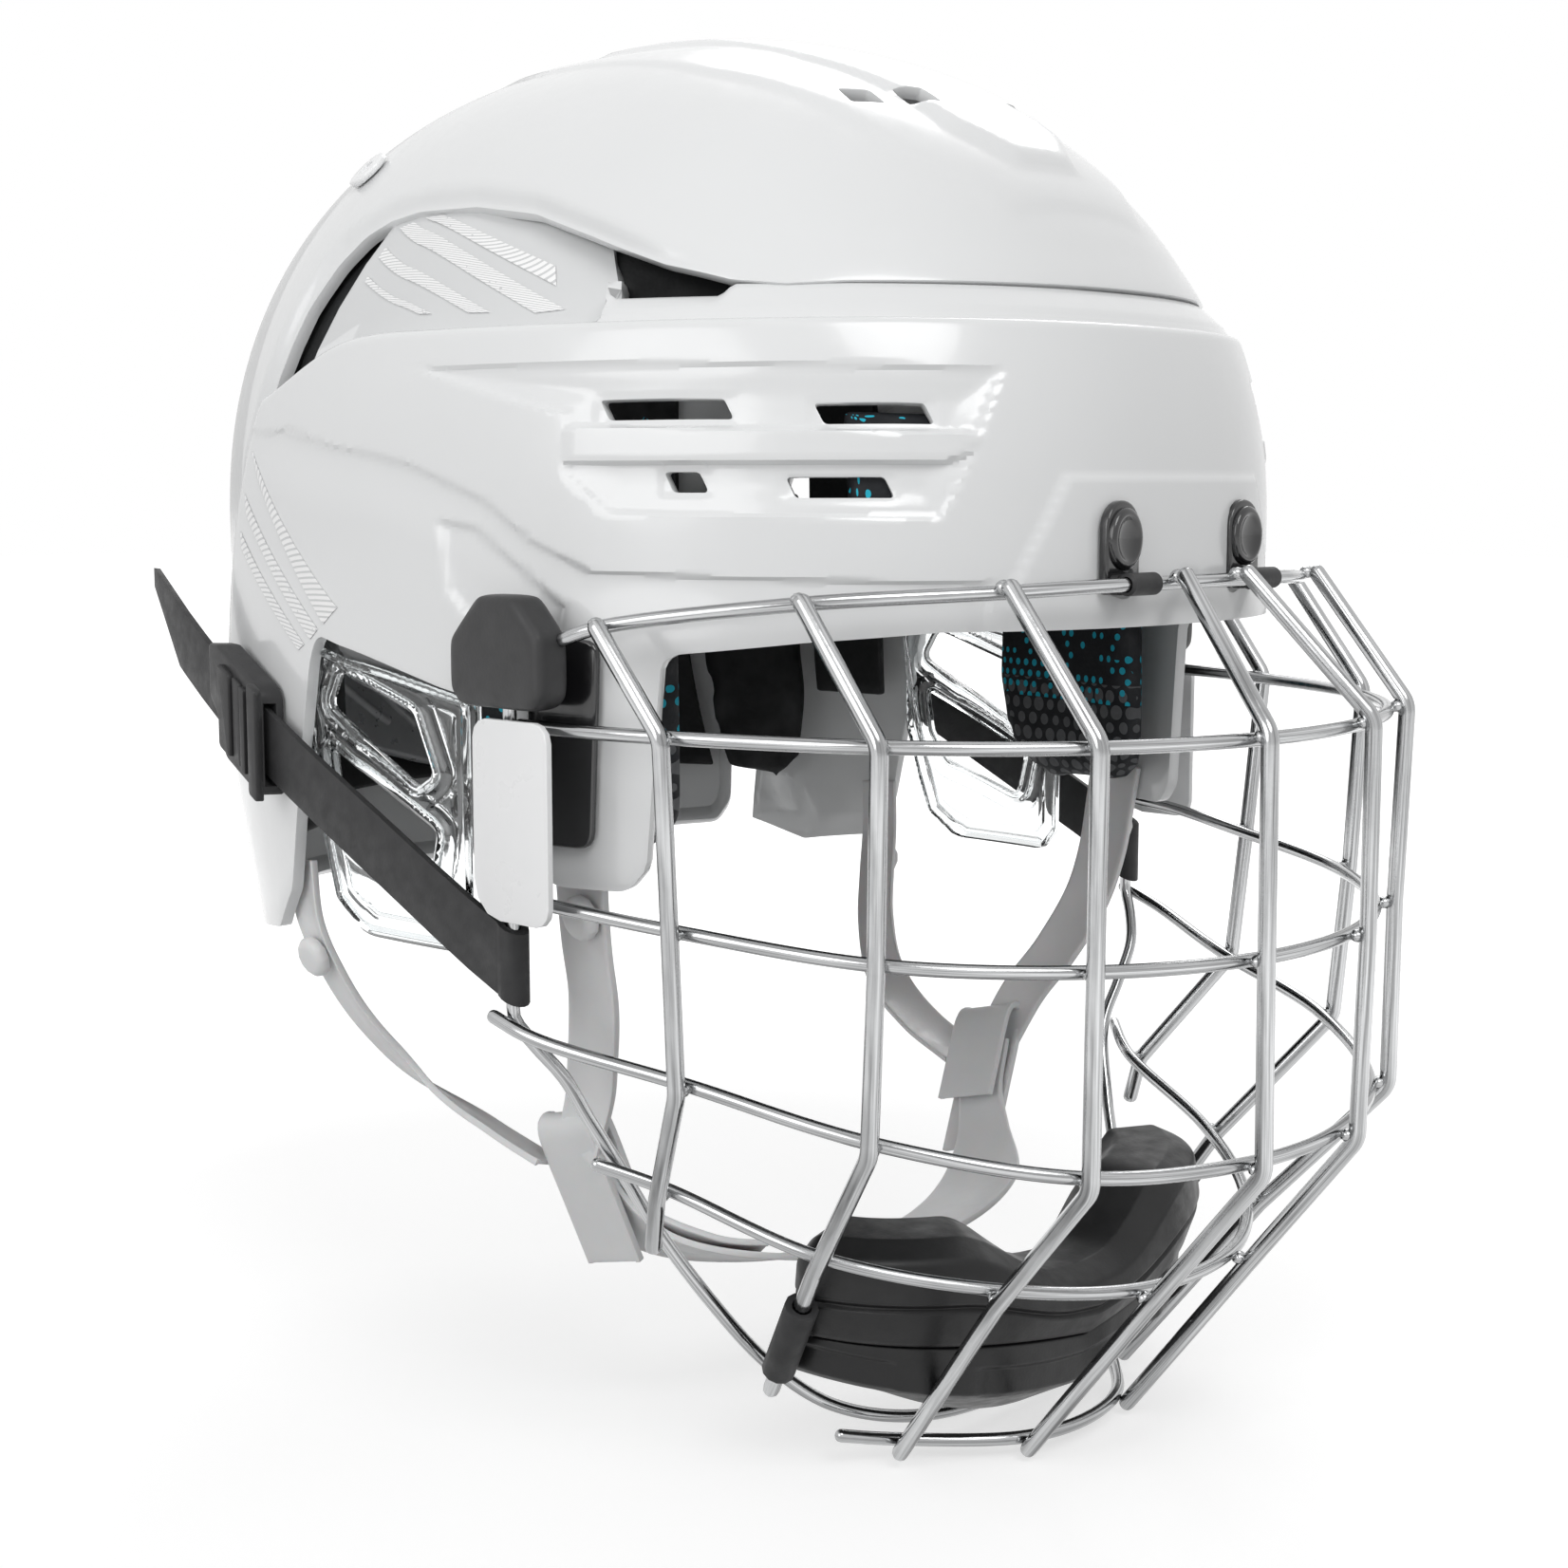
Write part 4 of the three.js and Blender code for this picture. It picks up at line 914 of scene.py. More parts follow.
def dome_relief(points, bearing, z):
    """The tongue along the crown and its border, and the turned-in lower edge."""
    x, y = points[..., 0], points[..., 1]
    high = smoothstep(70, 82, z)
    relief = 1.5 * smoothstep(-1.5, 3, flat_distance(TONGUE, x, y)) * high
    relief += 0.7 * smoothstep(-1, 1.6, flat_distance(TONGUE_BORDER, x, y)) * high
    steep = np.interp(np.abs(bearing), [100, 104, 130, 133], [1, 0.35, 0.35, 1])
    rise = (z - along(DOME_EDGE, np.abs(bearing))) * steep
    flare = smoothstep(50, 66, np.abs(bearing))
    relief -= 2.2 * (1 - smoothstep(0.4, 4.2, rise)) * flare
    relief += 0.5 * (1 - smoothstep(0, 9, rise)) * (1 - flare)
    return relief


def dome_place(bearing, row):
    """Row 0 to 1 runs from the dome's lower edge to the crown."""
    signed = np.where(bearing > 180, bearing - 360, bearing)
    low = station_of(along(DOME_EDGE, np.abs(signed)))
    station = low + (90 - low) * row
    points = skin_point(signed, station)
    relief = dome_relief(points, signed, points[..., 2])
    return points + skin_normal(signed, station) * relief[..., None]


def rear_shell():
    half = spread([*[b for b, _ in DOME_EDGE], *np.arange(0, 180, 1.4)], 0.3)
    half[-1] = 180
    columns = half + [360 - c for c in half[-2::-1]]
    rows = [0, 0.006, 0.012, 0.02, 0.03, 0.04, 0.055, *np.linspace(0.07, 1, 74)]
    shell = skin_sheet("rear_shell_skin", columns, rows, dome_place)
    in_edit_mode(shell, lambda: merge_points(2 * WELD_DISTANCE), face_outwards)
    if sum(p.normal @ p.center for p in shell.data.polygons) < 0:
        flipped(shell)
    modified(shell, "SOLIDIFY", thickness=SHEET_THICKNESS, offset=-1)
    cut_by(shell, [slot_cutter(*vent, side, 0.6, 1.0) for vent in CROWN_VENTS for side in SIDES.values()])
    smoothed(bevelled(shell, settings().edge_radius / MM, 2, 48), 32)
    finished(shell, MATERIALS["shell"], "shell", "rear_half", "rear_shell")


def recess_off(bearing, z):
    """How far inside the skin the wall above the ledge lies at a point of it."""
    leaning = LEAN_FROM + (bearing - LEAN_FROM) * (LAST_COLUMN - LEAN_FROM) / (shell_end(z) - LEAN_FROM)
    column = np.where(bearing > LEAN_FROM, leaning, bearing)
    return flange_off(front_bearing(column, ledge_at(front_bearing(column, LEDGE))))


PRINT_OFF, PRINT_THICKNESS, HATCH_PITCH = 0.12, 0.12, 1.7
# Printed stripes, each as its two long edges from [bearing, z] to [bearing, z].
UPPER_STRIPES = [
    (((89, 80.5), (72.8, 68)), ((91, 80.4), (72.3, 63.5))),
    (((92.4, 79.6), (70.9, 58.2)), ((94.6, 78.6), (74.3, 57.4))),
    (((95.4, 74.2), (79.5, 57.6)), ((95.8, 71.8), (82, 57.6))),
    (((96.4, 67.6), (86.2, 57.6)), ((96.4, 66.2), (87.6, 57.6))),
]
LOWER_STRIPES = [
    (((105.6, 27), (90.6, -7)), ((103.8, 21), (92.4, -10.8))),
    (((107.2, 17.5), (93.2, -12)), ((106.6, 12.5), (94.4, -14.4))),
    (((108.6, 9), (95.4, -15.6)), ((108.4, 5), (96.4, -17))),
]


def stripe(name, edges, off, side):
    """A printed stripe as a thin patch that follows the surface."""
    (b0, z0), (b1, z1) = upper = np.array(edges[0])
    lower = np.array(edges[1])
    hatches = np.hypot((b0 - b1) * DEGREE, z0 - z1) / HATCH_PITCH

    def place(u, v):
        u, v = u[:, None], v[:, None]
        first, second = upper[0] + (upper[1] - upper[0]) * u, lower[0] + (lower[1] - lower[0]) * u
        b, z = ((1 - v) * first + v * second).T
        return off_skin(side * b, z, off(b, z) + PRINT_OFF)

    patch = skin_sheet(name, np.linspace(0, 1, 25), np.linspace(0, 1, 5), place)
    scale_uv(patch, hatches, hatches * 0.2)
    if side < 0:
        flipped(patch)
    return modified(patch, "SOLIDIFY", thickness=PRINT_THICKNESS * MM, offset=1)


def scale_uv(obj, u, v):
    """Makes an object's UV map that many times larger."""
    layer = obj.data.uv_layers.active
    uv = np.empty(len(obj.data.loops) * 2)
    layer.data.foreach_get("uv", uv)
    uv = uv.reshape(-1, 2) * (u, v)
    layer.data.foreach_set("uv", uv.ravel())


def lobe_off(bearing, z):
    """How far outside the skin the band lies at a point of it."""
    return BAND + band_relief(bearing, z)


def stripes():
    for side_name, side in SIDES.items():
        upper = [stripe("stripe", edges, recess_off, side) for edges in UPPER_STRIPES]
        finished(joined(upper, "recess_stripes_" + side_name), MATERIALS["hatch"], "shell", "helmet")
        lower = [stripe("stripe", edges, lobe_off, side) for edges in LOWER_STRIPES]
        finished(joined(lower, "lobe_stripes_" + side_name), MATERIALS["hatch_pale"], "shell", "helmet")


SCREW_BEARING, SCREW_Z = 112, 92  # where a dome screw sits
SCREW_RADIUS, SCREW_HEAD = 0.0054, 0.0016
SOCKET_RADIUS, SOCKET_MIDDLE, SOCKET_HEIGHT = 0.0024, 0.0017, 0.002


def dome_screws():
    """A round head with a hexagon socket, lying on the dome."""
    inner, foot, outer = (off_skin(SCREW_BEARING, SCREW_Z, off) for off in (0, SEAM, 1))
    foot, normal = Vector(foot * MM), Vector(outer - inner).normalized()
    turned = normal.to_track_quat("Z", "Y").to_euler()
    add = bpy.ops.mesh.primitive_cylinder_add
    head = primitive(add, vertices=40, radius=SCREW_RADIUS, depth=SCREW_HEAD, rotation=turned,
                     location=foot + normal * SCREW_HEAD / 2)
    bevelled(head, 0.6, 3)
    socket = primitive(add, vertices=6, radius=SOCKET_RADIUS, depth=SOCKET_HEIGHT, rotation=turned,
                       location=foot + normal * SOCKET_MIDDLE)
    cut_by(head, [socket])
    finished_pair(smoothed(head, 35), "dome_screw_head", MATERIALS["label"], "shell", "rear_half",
                  "dome_screw")


# ---------------------------------------------------------------- padding


PAD_INSET = 0.0012  # how far a pad shrinks before its cloth is blown up
PAD_PRESSURE, PAD_STIFFNESS, PAD_FRAMES = 4.0, 40, 20


def swollen(node, name, voxel=0.0035):
    """A pad with a skin blown up a little, as moulded foam crowns between its edges."""
    pad = copy_of(node, name)
    modified(pad, "REMESH", mode="VOXEL", voxel_size=voxel)
    modified(pad, "SMOOTH", factor=0.5, iterations=3)
    modified(pad, "DISPLACE", strength=-PAD_INSET, mid_level=0.0)
    start = coordinates(pad)
    cloth = pad.modifiers.new("swell", "CLOTH")
    cloth.settings.use_pressure = True
    cloth.settings.uniform_pressure_force = PAD_PRESSURE
    cloth.settings.effector_weights.gravity = 0
    cloth.settings.tension_stiffness = cloth.settings.compression_stiffness = PAD_STIFFNESS
    cloth.point_cache.frame_start, cloth.point_cache.frame_end = 1, PAD_FRAMES
    scene = bpy.context.scene
    for step in range(1, PAD_FRAMES + 1):
        scene.frame_set(step)
    shaped = pad.evaluated_get(bpy.context.evaluated_depsgraph_get())
    end = np.empty(len(shaped.data.vertices) * 3)
    shaped.data.vertices.foreach_get("co", end)
    move = end.reshape(-1, 3) - start
    length = np.linalg.norm(move, axis=1, keepdims=True) + 1e-12
    pad.modifiers.remove(cloth)
    scene.frame_set(1)
    place_vertices(pad, start + move / length * np.minimum(length, settings().pad_swell))
    modified(pad, "SUBSURF", levels=1, render_levels=1)
    smoothed(pad, 60)
    return pad


PAD_LINE = -12  # how far off the skin the pads' middles lie


def unrolled(pad):
    """A UV map in metres over a pad: along the skin and up, and on round its edges."""
    points = coordinates(pad) / MM
    normals = np.array([v.normal[:] for v in pad.data.vertices])
    bearings = np.linspace(-180, 180, 721)
    line = off_skin(bearings, 0, PAD_LINE)[:, :2]
    lengths = np.append(0, np.cumsum(np.linalg.norm(np.diff(line, axis=0), axis=1)))
    angle = np.degrees(np.arctan2(points[:, 0], -points[:, 1]))
    line_angle = np.degrees(np.unwrap(np.arctan2(line[:, 0], -line[:, 1])))
    bearing = np.interp(angle, line_angle, bearings)
    length = np.interp(angle, line_angle, lengths)
    skin = off_skin(bearing, points[:, 2], 0)
    ahead = off_skin(bearing + 0.5, points[:, 2], 0) - skin
    ahead /= np.linalg.norm(ahead, axis=1, keepdims=True)
    depth = np.linalg.norm(skin[:, :2], axis=1) - np.linalg.norm(points[:, :2], axis=1)
    rise = depth.max() - depth
    u = (length + rise * (ahead * normals).sum(axis=1)) * MM
    v = (points[:, 2] + rise * normals[:, 2]) * MM
    layer = pad.data.uv_layers.new(name="unrolled")
    corners = np.array([c.vertex_index for c in pad.data.loops])
    layer.data.foreach_set("uv", np.column_stack([u, v])[corners].ravel())
    return pad


def pads():
    finished(unrolled(swollen("forehead_pad", "forehead_foam")), MATERIALS["dotted"], "foam", "helmet",
             "forehead_pad")
    for side in SIDES:
        for node, material, body in (("temple_pad", "dotted", "helmet"), ("side_pad", "foam", "helmet"),
                                     ("rear_pad", "foam", "rear_half")):
            full = f"{node}_{side}"
            pad = swollen(full, full.replace("pad", "foam"))
            if material == "dotted":
                unrolled(pad)
            finished(pad, MATERIALS[material], "foam", body, full)
    finished(swollen("crown_pad", "crown_foam", 0.0045), MATERIALS["foam"], "foam", "rear_half", "crown_pad")


LINER_THICKNESS = 0.003
# Thin foam sheets: name, body, bearings, heights, millimetres off the skin, whether it has a mirror image.
LINERS = [("vent_liner", "helmet", (44, 72), (44, 74), -9.5, True),
          ("side_liner", "rear_half", (98, 109.3), (-40, 84), -6.2, True),
          ("nape_liner", "rear_half", (132.5, 227.5), (-64, 84), -6.2, False)]


def liners():
    """Thin black foam behind the vents and over the inside of the nape."""
    for name, body, (b0, b1), (z0, z1), off, paired in LINERS:
        columns, rows = np.linspace(b0, b1, int((b1 - b0) * 1.2)), np.linspace(z0, z1, 40)
        for side_name, side in (SIDES.items() if paired else [("middle", 1)]):
            sheet = skin_sheet(f"{name}_{side_name}", columns, rows,
                               lambda b, z, side=side, off=off: off_skin(side * b, z, off))
            if side < 0:
                flipped(sheet)
            modified(sheet, "SOLIDIFY", thickness=LINER_THICKNESS, offset=-1)
            finished(smoothed(bevelled(sheet, 0.8, 2)), MATERIALS["foam"], "foam", body)


# The cradle's ribs, each from (bearing, z) to (bearing, z), with their distance off the skin and diameter.
RIBS = [((150, -14), (172, -52)), ((160, -10), (180, -46)), ((210, -14), (188, -52)),
        ((200, -10), (180, -46)), ((148, -30), (166, -50)), ((212, -30), (194, -50))]
RIB_OFF, RIB_DIAMETER = -15.2, 0.0028


def occipital_fit():
    """The smoky cradle with slanting ribs, and the lock behind it."""
    cradle = refined("occipital_cradle", "cradle_sheet", 0.9, 2, 1, 50)
    ribs = []
    for (b0, z0), (b1, z1) in RIBS:
        path = [off_skin(b0 + (b1 - b0) * t, z0 + (z1 - z0) * t, RIB_OFF) for t in np.linspace(0, 1, 14)]
        ribs.append(wire("rib", path, RIB_DIAMETER))
    finished(joined([cradle, *ribs], "cradle_ribbed"), MATERIALS["smoke"], "smoke", "cradle",
             "occipital_cradle")
    lock = refined("occipital_lock", "lock_slider", 1.0)
    finished(lock, MATERIALS["black"], "black_plastic", "lock", "occipital_lock")


# ---------------------------------------------------------------- ear guards

GUARD_THICKNESS = 0.0018
EAR_OUTLINE = [(77.3, -20), (77.3, -74), (79.2, -79.6), (89.6, -79.6), (93.6, -72.8), (96.6, -50), (97.2, -9)]
EAR_SIGHT = [(77.3, -24.6), (77.3, -74), (79.2, -79.6), (89.6, -79.6), (93.6, -72.8), (96.6, -50), (98.4, -24),
             (96.8, -14.4)]  # the edge rim, whose top follows the shell's arch
EAR_WINDOWS = [[(7, -21), (-19, -29), (-25, -42), (-20, -45), (12, -29)],
               [(11, -38), (-26, -54), (-23, -66), (3, -58), (9, -50)]]


def skin_prism(name, outline, low, high):
    """A plug whose (bearing, z) outline follows the skin."""
    return loft(name, [[off_skin(b, z, off) for b, z in outline] for off in (low, high)])


def dense(points):
    """More points, a millimetre apart, on a closed (bearing, z) outline."""
    result = []
    for a, b in zip(points, [*points[1:], points[0]]):
        a, b = np.asarray(a, float), np.asarray(b, float)
        count = max(int(np.hypot((b[0] - a[0]) * DEGREE, b[1] - a[1])), 1)
        result += [a + (b - a) * t for t in np.arange(count) / count]
    return result


def corners_of(outline, radius):
    """A (bearing, z) outline with its corners rounded in millimetres."""
    return [(q[0] / DEGREE, q[1]) for q in filleted([(b * DEGREE, z) for b, z in outline], radius)]


def ear_rim(distance, thick, thin):
    """A thick and a thin rim at these distances from an edge."""
    return 1.6 * np.exp(-((distance - thick) / 1.25) ** 2) + 0.6 * np.exp(-((distance - thin) / 1.0) ** 2)


def ear_relief(bearing, z, sight, windows):
    """Moulded rims along the guard's edge and round its windows."""
    relief = ear_rim(distance_inside(sight, bearing, z), 1.6, 5.2)
    for window in windows:
        relief = np.maximum(relief, ear_rim(-distance_inside(window, bearing, z), 1.5, 4.9))
    return relief


def ear_guards():
    """A clear plate with windows, edged by thick moulded rims."""
    outer = BAND - WALL - 2 * SEAM
    outline, sight = corners_of(EAR_OUTLINE, 4), corners_of(EAR_SIGHT, 4)
    windows = [corners_of([(bearing_at(y), z) for y, z in window], 2.5) for window in EAR_WINDOWS]

    def place(bearing, z):
        shown = smoothstep(-0.5, 1, distance_inside(sight, bearing, z))
        return off_skin(bearing, z, outer - 0.2 + ear_relief(bearing, z, sight, windows) * shown)

    plate = skin_sheet("guard", np.arange(76.4, 98.4, 0.22), np.arange(-80.6, -8, 0.46), place)
    modified(plate, "SOLIDIFY", thickness=GUARD_THICKNESS, offset=-1)
    blank = skin_prism("outline", outline, -8, 12)
    modified(plate, "BOOLEAN", operation="INTERSECT", solver="MANIFOLD", object=blank)
    cut_by(plate, [skin_prism("window", window, -8, 12) for window in windows])
    bpy.data.objects.remove(blank)
    finished_pair(smoothed(plate, 50), "guard", MATERIALS["clear"], "clear_guard", "helmet", "ear_guard")


# ---------------------------------------------------------------- cage

# Where the bars cross the rods: [sideways, forward of the temples, down from the brow].
CROSSINGS = {
    "brow": [[10.6, 94, 0], [54, 84, 1], [84, 59, 3], [104, 24, 8]],
    "eye": [[19.3, 122, 28.5], [56, 109, 28.5], [85.6, 81, 28.5], [104, 42, 28.5]],
    "nose": [[19, 122.2, 73.3], [55, 108, 72.6], [84.4, 79.5, 71.1], [100.4, 40.5, 67.7]],
    "mouth": [[17.6, 122, 115.8], [55, 107.9, 113.9], [83.1, 77, 107.4], [97.3, 39, 99.8]],
    "jaw": [[18, 96, 148.7], [48, 80, 145.2], [72, 52.5, 138.7], [85, 20, 128]],
    "base": [[18, 64, 190], [40, 47, 189], [64, 32, 172], [84, 17, 140]],
}
ROD_ENDS = {
    "brow": [[107, 15, 11]],
    "eye": [[107, 18, 28.5], [107, 2.2, 28.5]],
    "nose": [[105, 16, 65], [106.8, 2.2, 64]],
    "mouth": [[108.6, 8, 92], [110.2, -4, 88.5]],
    "jaw": [[92.5, 7, 121.5]],
}
PERIMETER = [[107, 0, 10], [107, 0, 50], [107, 0, 84], [107, 0, 89], [104.6, 3.3, 94.5], [100, 7, 101.5],
             [94, 7.5, 111], [87, 8, 121.5], [80, 14.5, 138], [72, 23, 154], [61, 28.5, 168.5],
             [48, 34.5, 179.5], [29, 41, 186], [0, 43.5, 188.5]]
CHIN = [[0, 67, 188.3], [18, 63.3, 187.9], [40, 45.6, 186.7], [52, 39.7, 184]]
LEVELS = list(CROSSINGS)
BAR, ROD = 3.7, 2.9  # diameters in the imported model
RELIEF, ROD_SHARE, BAR_SHARE = 0.75, 0.66, 0.34  # extra room at a crossing, and who bends how much
BEND = 6  # radius of a bar's bends
BEAD_RADIUS, BEAD_SHAPE = 0.00165, (1.15, 1.0, 0.9)


def cage_point(p):
    """From [sideways, forward, down] to the frame, in millimetres."""
    return np.array([p[0], TEMPLE_Y - p[1], -p[2]], float)


def outwards(level, column):
    """The direction out of the cage at a crossing."""
    row = [cage_point(p) for p in CROSSINGS[LEVELS[level]]]
    before = row[0] * MIRROR if column == 0 else row[column - 1]
    after = row[min(column + 1, 3)]
    above = cage_point(CROSSINGS[LEVELS[max(level - 1, 0)]][column])
    below = cage_point(CROSSINGS[LEVELS[min(level + 1, 5)]][column])
    normal = np.cross(below - above, after - before)
    return normal / np.linalg.norm(normal)


def spacing():
    """The distance between a bar's middle and a rod's where they cross."""
    return (BAR + ROD) / 2 + SEAM


def shifted(level, column, distance):
    """A crossing moved out of the cage."""
    return cage_point(CROSSINGS[LEVELS[level]][column]) + outwards(level, column) * distance


def rod_inset(level):
    return 0 if level == 0 else (spacing() + RELIEF) * ROD_SHARE


def bar_outset(level):
    return spacing() if level == 0 else (spacing() + RELIEF) * BAR_SHARE


def both_sides(half):
    """A path from its left half, which starts beside the middle."""
    return [p * MIRROR for p in half[::-1]] + half


def through_middle(half):
    """A path from its left half, which ends in the middle."""
    return [p * MIRROR for p in half[:-1]] + half[::-1]


def rod_path(name):
    level = LEVELS.index(name)
    inner = [shifted(level, column, -rod_inset(level)) for column in range(4)]
    if name == "brow":
        inner[0] = np.array([inner[0][0], BROW_Y, 0])
        inner[1:1] = [cage_point([28.5, 94, 0]), cage_point([32, 94, 0])]
    return catmull(both_sides(inner + [cage_point(p) for p in ROD_ENDS[name]]))


def cage_wires():
    s = settings()
    material = MATERIALS["wire"]
    for name in LEVELS[:-1]:
        rod = wire(name + "_wire", rod_path(name), s.rod_diameter)
        finished(rod, material, "wire", "cage", name + "_rod")
    edge = catmull(through_middle([cage_point(p) for p in PERIMETER]))
    finished(wire("edge_wire", edge, s.rod_diameter), material, "wire", "cage", "perimeter_wire")
    chin = catmull(through_middle([cage_point(p) for p in CHIN[::-1]]))
    finished(wire("chin_wire", chin, s.rod_diameter), material, "wire", "cage", "chin_rod")
    for column in range(4):
        path = bent([shifted(level, column, bar_outset(level)) for level in range(6)], BEND)
        bar = wire(f"upright_{column + 1}", path, s.bar_diameter)
        finished_pair(bar, f"upright_{column + 1}", material, "wire", "cage", f"bar_{column + 1}")


def weld_beads():
    """The melted metal between each pair of crossing wires."""
    beads = []
    for level in range(5):
        for column in range(4):
            centre = shifted(level, column, (bar_outset(level) - rod_inset(level)) / 2) * MM
            for side in SIDES.values():
                beads.append(primitive(bpy.ops.mesh.primitive_ico_sphere_add, BEAD_SHAPE, subdivisions=2,
                                       radius=BEAD_RADIUS, location=Vector(centre * (side, 1, 1))))
    finished(smoothed(joined(beads, "weld_beads"), 80), MATERIALS["wire"], "wire", "cage")


# ---------------------------------------------------------------- fittings


def prism(name, outline, low, high, place):
    """A block over an outline of (u, v) points between two depths w, put in the world by place(u, v, w)."""
    return loft(name, [[place(u, v, w) for u, v in outline] for w in (low, high)])


CLIP_HALF, CLIP_THICKNESS, CLIP_BOTTOM = 5.6, 2.3, -2.2
SLEEVE_HALF, SLEEVE_RADIUS, SLEEVE_CHAMFER = 5, 2.3, 0.5
# The clip's screw: half width, half height, height of its middle, and its profile as (share of its half
# sizes, height over the tongue).
SCREW_HALF_X, SCREW_HALF_Z, SCREW_MIDDLE = 5.2, 6.3, 8.9
SCREW_PROFILE = [(1.0, -0.3), (1.0, 0.6), (0.97, 0.95), (0.9, 1.25), (0.8, 1.35), (0.72, 1.25), (0.66, 0.95),
                 (0.58, 0.68), (0.44, 0.45), (0.3, 0.33), (0.16, 0.27), (0.03, 0.25)]


def brow_clips():
    """A black tongue with a dished screw, held to the brow rod by a sleeve."""
    low, high = (np.array(corner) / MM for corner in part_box("brow_clip_left"))
    middle, back, top = (low[0] + high[0]) / 2, high[1] - 0.75, high[2] - 0.9
    seat = back - CLIP_THICKNESS

    def place(u, v, w):
        return middle + u, w, v

    foot = filleted(rectangle(-CLIP_HALF, CLIP_HALF, CLIP_BOTTOM, top), 1.3, 3)
    arch = [(CLIP_HALF * math.cos(a), top - CLIP_HALF + CLIP_HALF * math.sin(a))
            for a in np.radians(range(0, 181, 12))]
    outline = [p for p in foot if p[1] < 5] + arch
    outline.sort(key=lambda p: math.atan2(p[1] - 7, p[0]))
    tongue = smoothed(bevelled(prism("tongue", outline, back, seat, place), 0.6, 3, 50), 40)
    finished_pair(tongue, "clip_tongue", MATERIALS["black"], "black_plastic", "helmet", "brow_clip")
    inner = settings().rod_diameter / MM / 2 + SEAM / 2
    flat, shoulder = SLEEVE_HALF - SLEEVE_CHAMFER, SLEEVE_RADIUS - SLEEVE_CHAMFER
    profile = [(-SLEEVE_HALF, inner), (-SLEEVE_HALF, shoulder), (-flat, SLEEVE_RADIUS), (flat, SLEEVE_RADIUS),
               (SLEEVE_HALF, shoulder), (SLEEVE_HALF, inner), (-SLEEVE_HALF, inner)]
    rings = [[(middle + x, BROW_Y + r * math.cos(a), r * math.sin(a)) for a in turns(12)] for x, r in profile]
    sleeve = loft("sleeve", rings, closed_ends=False)
    section = filleted(rectangle(-4.6, 4.6, CLIP_BOTTOM, 1.8), 1.0, 3)
    arm = prism("arm", section, back - 2.2, BROW_Y + 2.5, place)
    finished_pair(smoothed(joined([sleeve, arm], "clip_sleeve"), 40), "clip_sleeve", MATERIALS["rubber"],
                  "black_plastic", "helmet")
    rings = [[(middle + SCREW_HALF_X * k * math.cos(a), seat - w, SCREW_MIDDLE + SCREW_HALF_Z * k * math.sin(a))
              for a in turns(8)] for k, w in SCREW_PROFILE]
    finished_pair(smoothed(loft("clip_screw", rings), 60), "clip_screw", MATERIALS["black"], "black_plastic",
                  "helmet", "brow_clip_screw")


def softened_block(node, name, voxel, passes):
    """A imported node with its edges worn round."""
    obj = copy_of(node, name)
    modified(obj, "REMESH", mode="VOXEL", voxel_size=voxel)
    modified(obj, "SMOOTH", factor=0.5, iterations=passes)
    return smoothed(obj, 60)


TEMPLE_CAP = [(62.6, -11), (70, -11), (70, -53.5), (63.4, -53.5)]


def temple_fittings():
    """The rubber bumpers and side plates on the cage, and the caps on the shell."""
    bumper = softened_block("temple_bumper_left", "temple_rubber", 0.0007, 60)
    finished_pair(bumper, "temple_rubber", MATERIALS["bumper"], "soft_black", "cage", "temple_bumper")
    label = refined("label_plate_left", "side_plate", 0.5, 3, 2, 35)
    finished_pair(label, "side_plate", MATERIALS["label"], "label", "cage", "label_plate")
    cover = skin_prism("temple_cap", dense(corners_of(TEMPLE_CAP, 4)), BAND + 0.25, BAND + 2.0)
    finished_pair(smoothed(bevelled(cover, 0.8, 3, 50), 40), "temple_cap", MATERIALS["black"],
                  "black_plastic", "helmet", "temple_cover")


# The buckle, along and up the side strap: its body, the channel through it and its ridges, each as
# (from, to, half height, how far out).
BUCKLE_BODY = [(-11.5, -12.5), (6, -12.5), (8, -5), (12.6, -2), (12.6, 10.5), (8, 12.5), (-11.5, 12.5)]
CHANNEL = rectangle(-20, 20, -9.4, 9.4)
RIDGES = [(-12.2, -8.6, 12.6, 4.4), (-6.4, -4.4, 9.6, 4.0), (-3.6, -0.4, 9.6, 3.6), (0.4, 5.6, 9.6, 4.2)]
BUCKLE_TURN, BUCKLE_RISE = math.radians(6), 0.48


def buckle_place(u, v, w):
    """From along, up and out of the side strap at its buckle to the frame."""
    low, high = (np.array(corner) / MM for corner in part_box("strap_buckle_left"))
    middle, sine, cosine = (low + high) / 2, math.sin(BUCKLE_TURN), math.cos(BUCKLE_TURN)
    y = w * sine + u * cosine
    return middle[0] + w * cosine - u * sine, middle[1] + y, middle[2] + v + BUCKLE_RISE * y


def cage_straps():
    """The side straps and the ridged buckles that they run through."""
    strap = refined("cage_strap_left", "side_strap", 0.5, 2, 1, 40)
    finished_pair(strap, "side_strap", MATERIALS["rubber"], "soft_black", "strap", "cage_strap")
    body = bevelled(prism("buckle_body", filleted(BUCKLE_BODY, 3.2), -3.7, 2.6, buckle_place), 1.2, 3, 50)
    cut_by(body, [prism("channel", filleted(CHANNEL, 0.5), -1.6, 1.6, buckle_place)])
    parts = [body]
    for start, end, half, out in RIDGES:
        outline = filleted(rectangle(start, end, -half, half), 1.2)
        parts.append(bevelled(prism("ridge", outline, 2.2, out, buckle_place), 0.6, 2, 50))
    buckle = smoothed(joined(parts, "side_buckle"), 40)
    finished_pair(buckle, "side_buckle", MATERIALS["bumper"], "black_plastic", "strap", "strap_buckle")


# ---------------------------------------------------------------- chin cup

